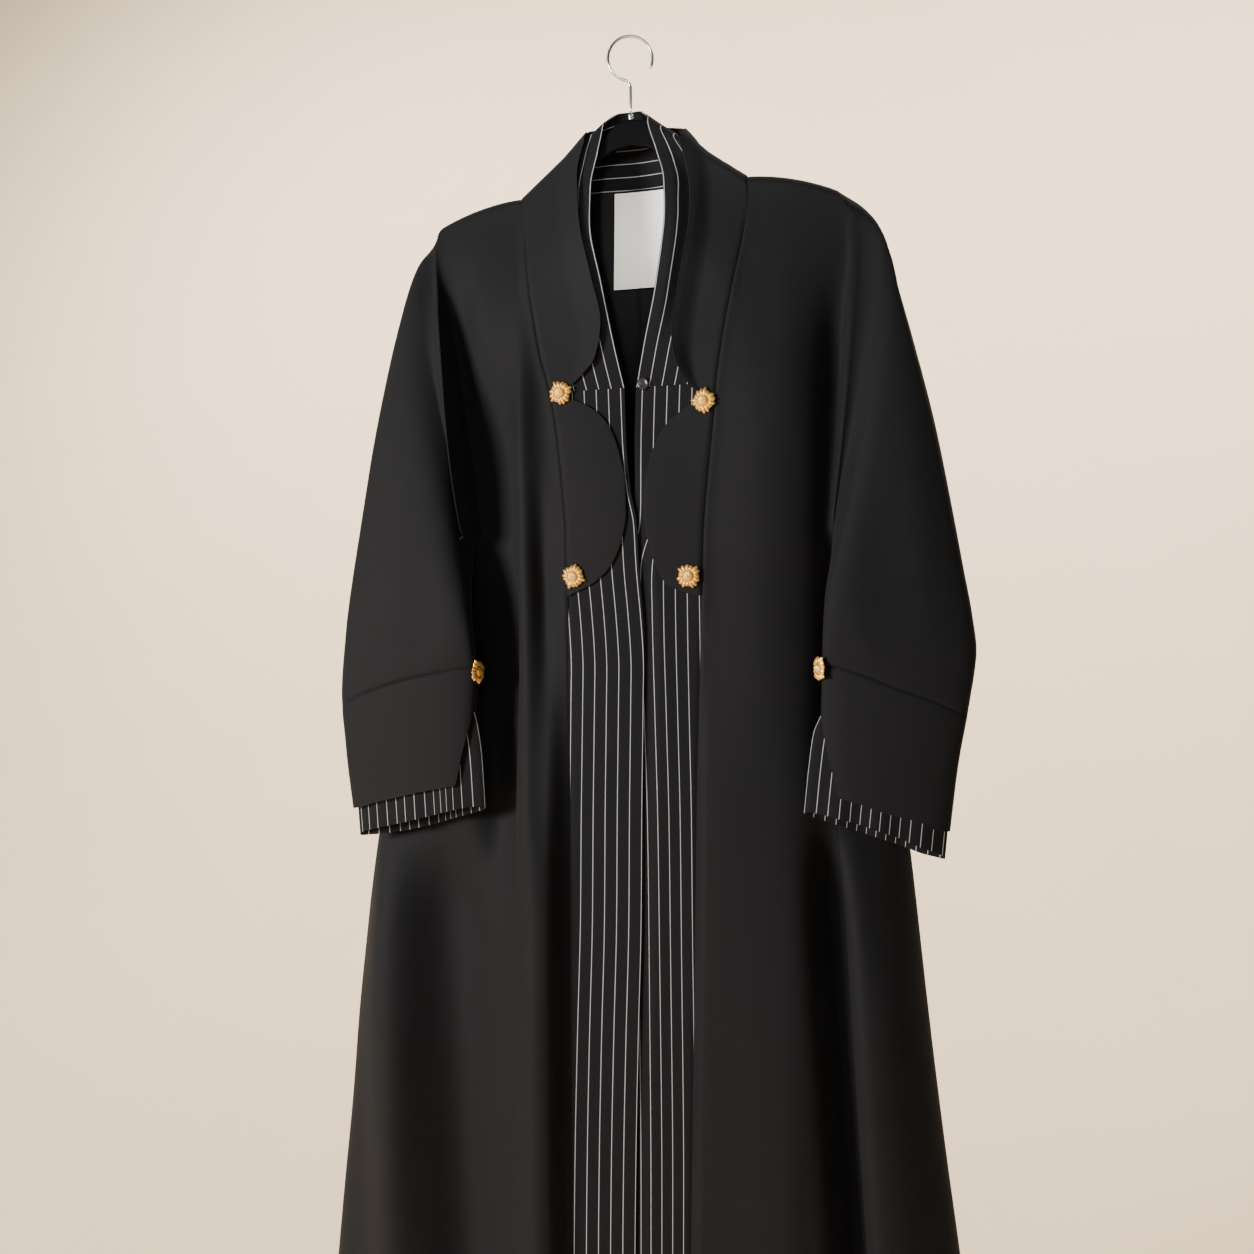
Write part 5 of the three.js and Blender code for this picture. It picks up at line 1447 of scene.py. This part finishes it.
class ABAYA_OT_insets(bpy.types.Operator):
    """Build the pinstriped insets down the front, the right over the left"""

    bl_idname = "abaya.insets"
    bl_label = "Insets"

    def execute(self, context):
        for side in SIDE_SIGN:
            points = inset_grid(side)
            x, z = points[..., 0], points[..., 2]
            across = np.abs(x - x[:, -1:]) - 0.5
            if side == "left":
                off_stripe = x - LEFT_STRIPE["x"](z)
                below = 5 * STRIPE_PITCH + off_stripe * STRIPE_PITCH / LEFT_STRIPE["pitch"](z)
                across = mix(across + LEFT_STRIPE_START, below, ramp(-z, 470, 545))
            else:
                across = across - RIGHT_STRIPE["shift"](z)
            cloth_panel(f"inset_{side}", points, FRONTWARD, pinstripe(), "pinstripe", across)
        return {"FINISHED"}


class ABAYA_OT_neck_band(bpy.types.Operator):
    """Build the pinstriped band round the neck and down to the insets"""

    bl_idname = "abaya.neck_band"
    bl_label = "Neck band"

    def execute(self, context):
        points = neck_band_grid()
        from_middle = np.arange(len(points)) - (len(points) - 1) / 2
        behind = bell(from_middle, 26)[:, None]
        across = distance_from_edge(points) - 0.9 + 3.0 * behind
        cloth_panel("neck_band", points, BACKWARD, pinstripe(), "pinstripe", across)
        return {"FINISHED"}


class ABAYA_OT_lapels(bpy.types.Operator):
    """Build the upper lapels, which go on as the collar to the centre back, and the scallops"""

    bl_idname = "abaya.lapels"
    bl_label = "Lapels"

    def execute(self, context):
        roll = context.scene.abaya_body.lapel_roll / MM
        for side in SIDE_SIGN:
            points = lapel_grid(side)
            rows, columns = points.shape[:2]
            share = np.linspace(0, 1, columns)[None, :]
            down = np.linspace(0, 1, rows)[:, None]
            stand = ramp(share, 0.55, 1.0) * ramp(down, 0.1, 0.35) * (1 - ramp(down, 0.82, 1.0))
            seam = 0.8 * (1 - ramp(share, 0.0, 0.1)) * ramp(down, 0.3, 0.4)
            lift = LAYER - seam + roll * stand * (1.0 if side == "left" else 0.4)
            cloth_panel(f"lapel_{side}", lifted(points, lift), FRONTWARD, crepe(), "crepe")
            points = scallop_grid(side)
            share = np.linspace(0, 1, points.shape[1])[None, :]
            down = np.linspace(0, 1, len(points))[:, None]
            swell = 0.9 * np.sin(np.pi * share) * np.sin(np.pi * down)
            lift = LAYER + 0.3 - 0.7 * (1 - ramp(share, 0.0, 0.12)) + swell
            cloth_panel(f"scallop_{side}", lifted(points, lift), FRONTWARD, crepe(), "crepe")
        return {"FINISHED"}


class ABAYA_OT_label(bpy.types.Operator):
    """Build the blank neck label inside the back"""

    bl_idname = "abaya.label"
    bl_label = "Label"

    def execute(self, context):
        down = np.linspace(0, 1, 26)[:, None]
        z = np.linspace(LABEL_TOP_Z, LABEL_FOOT_Z, 26)[:, None]
        x = np.linspace(LABEL_RIGHT_X, LABEL_LEFT_X, 18)[None, :]
        points = back_point(x + 0 * z, z + 0 * x)
        points[..., 1] -= 2.1 + 3 * down
        material = finish_named("Woven label", label_material)
        cloth_panel("neck_label", points, FRONTWARD, material, "label", wall=0.0006)
        return {"FINISHED"}


# How far each cuff's button is turned to the front, in radians, and how far forward it sits.
CUFF_BUTTON_TURN = {"right": (0.15, 3.0), "left": (0.55, 6.0)}


class ABAYA_OT_buttons(bpy.types.Operator):
    """Build the cast sunburst buttons, and the small dark one at the neck"""

    bl_idname = "abaya.buttons"
    bl_label = "Buttons"

    def execute(self, context):
        on_lapel = LAYER + 0.3 + 0.8 + 0.4
        reach = context.scene.abaya_buttons.radius / MM
        seats = {
            "button_lapel_right": front_seat(-65.5, -342.5, reach, on_lapel),
            "button_lapel_left": front_seat(77, -358, reach, on_lapel),
            "button_scallop_right": front_seat(-54.5, -519.5, reach, on_lapel + 0.3),
            "button_scallop_left": front_seat(59.5, -521, reach, on_lapel + 0.3),
        }
        for side, sign in SIDE_SIGN.items():
            z = float(CUFF_SEAM[side](1.0)) - 4
            out = float(SLEEVE_INNER[side](z)) - 1.5
            turn, forward = CUFF_BUTTON_TURN[side]
            place = (sign * out, -float(wrist_forward(side, out)) - forward, z)
            seats[f"button_cuff_{side}"] = (place, (-sign * math.cos(turn), -math.sin(turn), 0))
        material = finish_named("Cast gold metal", gold_material)
        for number, (node, (place, direction)) in enumerate(seats.items()):
            points, faces, painted_shades = sunburst(1.7 * number)
            piece = new_mesh_object("cast_" + node, seated(points, place, direction), faces)
            # Each point's painted shade is stored for the gold's colour.
            layer = piece.data.attributes.new("Painted height shade", "FLOAT", "POINT")
            layer.data.foreach_set("value", painted_shades.astype(np.float32))
            finish_piece(piece, material, "gold", node)
        profile = ((0, 0), (5.2, 0), (5.8, 0.4), (6, 1.0), (5.9, 1.9), (5.2, 2.6), (4.1, 2.85))
        rim = ((3.6, 2.6), (2.9, 2.35), (1.4, 2.45), (0, 2.5))
        points, faces = turned(profile + rim)
        place, direction = front_seat(16.6, -338, 6.0, 1.1)
        piece = new_mesh_object("round_button_neck", seated(points, place, direction), faces)
        dark = hard_material(
            "Dark polished button", context.scene.abaya_colours.dark_button, (0.16, 0.3), 500.0
        )
        finish_piece(piece, dark, "dark_button", "button_neck")
        return {"FINISHED"}


class ABAYA_OT_hanger(bpy.types.Operator):
    """Build the wire hook and ferrule, and finish the hanger's body"""

    bl_idname = "abaya.hanger"
    bl_label = "Hanger"

    def execute(self, context):
        colours = context.scene.abaya_colours
        steel = hard_material("Bright wire", colours.steel, (0.16, 0.3), 700.0, 1.0, 0.05)
        points, faces = wire(hook_path(), 1.5)
        hook = new_mesh_object("wire_hook", turned_about_z(points, 16.5), faces)
        finish_piece(hook, steel, "wire", "hanger_hook")
        profile = (
            (0, -79.2), (2.5, -79.2), (2.8, -78.8), (2.8, -77.2), (2.5, -76.9), (2.8, -76.6),
            (2.8, -75.2), (2.5, -74.4), (2.0, -74), (0, -74),
        )
        points, faces = turned(profile, 32)
        ferrule = new_mesh_object("wire_ferrule", points, faces)
        finish_piece(ferrule, steel, "wire", "hanger_ferrule")
        plastic = hard_material(
            "Black moulded plastic", colours.hanger, (0.5, 0.66), 1200.0, shine=0.05
        )
        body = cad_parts["hanger_body"]
        body.data.materials.clear()
        body.data.materials.append(plastic)
        return {"FINISHED"}


# Each sheet: flat width and length in metres, cut area in square metres, what it hangs from.
CUTS = {
    "front": (0.34, 1.40, 0.31, ("hanger_body",)),
    "back": (0.38, 1.41, 0.39, ("hanger_body",)),
    "sleeve": (0.28, 0.50, 0.090, ("cloth_front_{side}", "cloth_back_{side}")),
    "cuff": (0.32, 0.15, 0.032, ("cloth_sleeve_{side}",)),
    "under_cuff": (0.31, 0.17, 0.037, ("cloth_cuff_{side}",)),
    "inset": (0.10, 1.21, 0.084, ("cloth_front_{side}", "cloth_neck_band")),
    "lapel": (0.09, 0.40, 0.0187, ("cloth_front_{side}", "cloth_neck_band")),
    "scallop": (0.075, 0.195, 0.0094, ("cloth_front_{side}",)),
    "neck_band": (0.10, 0.80, 0.047, ("hanger_body", "cloth_front_right", "cloth_front_left")),
    "neck_label": (0.058, 0.097, 0.0056, ("cloth_neck_band",)),
}


class ABAYA_OT_cloth_facts(bpy.types.Operator):
    """Check that every panel in the list of cuts, which gives the size each was cut to, has been built
    """

    bl_idname = "abaya.cloth_facts"
    bl_label = "Cloth facts"

    def execute(self, context):
        for cut, (width, length, area, hung_from) in CUTS.items():
            sides = ("",) if cut.startswith("neck") else tuple(SIDE_SIGN)
            for side in sides:
                node = f"{cut}_{side}" if side else cut
                piece = bpy.data.objects.get("cloth_" + node)
                if piece is None:
                    raise RuntimeError(f"{node} has not been built")
        return {"FINISHED"}


class ABAYA_OT_stage(bpy.types.Operator):
    """Set up the floor, the lights and the camera"""

    bl_idname = "abaya.stage"
    bl_label = "Stage"

    def execute(self, context):
        stage = context.scene.abaya_stage
        self.make_floor(stage.floor_height, context.scene.abaya_colours.floor)
        self.make_lights(stage)
        self.make_camera()
        return {"FINISHED"}

    def make_floor(self, height, colour):
        """A floor that sweeps up behind: height = floor + 6.5 m times a smooth ramp of y."""
        x, y = np.meshgrid(np.linspace(-10, 10, 21), np.linspace(-9, 6.5, 63))
        z = height + 6.5 * ramp(y, 1.6, 6.5) ** 1.4
        cells = grid_cells(*x.shape, False)[0]
        floor = new_mesh_object("studio_floor", np.stack([x, y, z], axis=-1) / MM, cells)
        material, tree, shader = new_material("Pale floor", Specular_IOR_Level=0.1)
        grain = use_group(tree, shared_group("Surface grain", surface_group), Size=3.0)
        base = np.array(colour)
        tone = blend_colours(tree, grain.outputs["Grain"], base * 0.97, np.minimum(base * 1.03, 1))
        tree.links.new(tone, shader.inputs["Base Color"])
        tree.links.new(spread(tree, grain.outputs["Grain"], 0.8, 0.9), shader.inputs["Roughness"])
        floor.data.materials.append(material)

    def make_lights(self, stage):
        """A large soft key from the front and the wearer's right, a weak fill, two lights that face
        the backdrop, a spot into the neck opening, and an even sky."""
        world = bpy.data.worlds.new("Studio")
        world.use_nodes = True
        background = world.node_tree.nodes["Background"]
        background.inputs["Color"].default_value = (1.0, 0.965, 0.92, 1.0)
        background.inputs["Strength"].default_value = stage.sky
        bpy.context.scene.world = world
        warm, cool = (1.0, 0.97, 0.93), (0.95, 0.97, 1.0)
        lights = (
            ("Key", (-2.2, -2.3, -0.2), (0, 0, -0.7), 0.9, stage.key_power, warm),
            ("Fill", (0.7, -2.6, -0.2), (0, 0, -0.5), 1.2, stage.fill_power, cool),
            ("Backdrop right", (-2.6, 1.5, 2.6), (-2.4, 6, -0.8), 2.4, stage.backdrop_power, warm),
            ("Backdrop left", (1.6, 1.5, 2.6), (0.6, 6, -0.8), 2.4, stage.backdrop_power, warm),
            ("Neck", (0.12, -1.4, -0.02), (0.012, 0.02, -0.185), 0.1, stage.neck_power, warm),
        )
        for name, place, target, size, power, colour in lights:
            light = bpy.data.lights.new(name, "SPOT" if name == "Neck" else "AREA")
            if light.type == "SPOT":
                light.shadow_soft_size = size
                light.spot_size = math.radians(10)
                light.spot_blend = 0.7
            else:
                light.shape = "SQUARE"
                light.size = size
            light.energy = power
            light.color = colour
            lamp = bpy.data.objects.new(name, light)
            lamp.location = place
            lamp.rotation_euler = (Vector(target) - lamp.location).to_track_quat("-Z", "Y").to_euler()
            lamp.visible_camera = False
            bpy.context.scene.collection.objects.link(lamp)

    def make_camera(self):
        """Camera a little to the wearer's left of the front, rolled so that the hanger leans."""
        turn, pitch, roll = (math.radians(a) for a in (15.9, -1.44, 0.74))
        distance, height = 1.290, -0.537
        place = Vector((distance * math.sin(turn), -distance * math.cos(turn), height))
        ahead = Vector((
            -math.sin(turn) * math.cos(pitch), math.cos(turn) * math.cos(pitch), math.sin(pitch)
        ))
        right = Vector((math.cos(turn), math.sin(turn), 0.0))
        up = right.cross(ahead)
        level = Matrix.Rotation(roll, 3, "Y")
        place, ahead, right, up = (level @ v for v in (place, ahead, right, up))
        data = bpy.data.cameras.new("Camera")
        data.sensor_width = SENSOR_WIDTH
        data.lens = SENSOR_WIDTH * FOCAL_LENGTH / IMAGE_WIDTH
        data.shift_x = IMAGE_SHIFT / IMAGE_WIDTH
        data.clip_start = 0.05
        camera = bpy.data.objects.new("Camera", data)
        turned_to = Matrix((right, up, -ahead)).transposed()
        camera.matrix_world = Matrix.Translation(place) @ turned_to.to_4x4()
        bpy.context.scene.collection.objects.link(camera)
        bpy.context.scene.camera = camera


# ---- add-on ----------------------------------------------------------------------------------------
SETTINGS = {
    "abaya_body": AbayaBodySettings,
    "abaya_colours": AbayaColourSettings,
    "abaya_buttons": AbayaButtonSettings,
    "abaya_stage": AbayaStageSettings,
}
OPERATORS = (
    ABAYA_OT_stage, ABAYA_OT_fronts, ABAYA_OT_backs, ABAYA_OT_sleeves, ABAYA_OT_cuffs,
    ABAYA_OT_insets, ABAYA_OT_neck_band, ABAYA_OT_lapels, ABAYA_OT_label, ABAYA_OT_buttons,
    ABAYA_OT_hanger, ABAYA_OT_cloth_facts,
)


class ABAYA_PT_sidebar(bpy.types.Panel):
    """Lists the settings and the pieces"""

    bl_idname = "ABAYA_PT_sidebar"
    bl_label = "Abaya"
    bl_space_type = "VIEW_3D"
    bl_region_type = "UI"
    bl_category = "Abaya"

    def draw(self, context):
        for name, group in SETTINGS.items():
            box = self.layout.box()
            for field in group.__annotations__:
                box.prop(getattr(context.scene, name), field)
        for operator in OPERATORS:
            self.layout.operator(operator.bl_idname)


def register():
    for cls in (*SETTINGS.values(), *OPERATORS, ABAYA_PT_sidebar):
        bpy.utils.register_class(cls)
    for name, group in SETTINGS.items():
        setattr(bpy.types.Scene, name, bpy.props.PointerProperty(type=group))


def unregister():
    for name in SETTINGS:
        delattr(bpy.types.Scene, name)
    for cls in reversed((*SETTINGS.values(), *OPERATORS, ABAYA_PT_sidebar)):
        bpy.utils.unregister_class(cls)


def main():
    register()
    for operator in OPERATORS:
        group, name = operator.bl_idname.split(".")
        getattr(getattr(bpy.ops, group), name)()


if __name__ == "__main__":
    main()
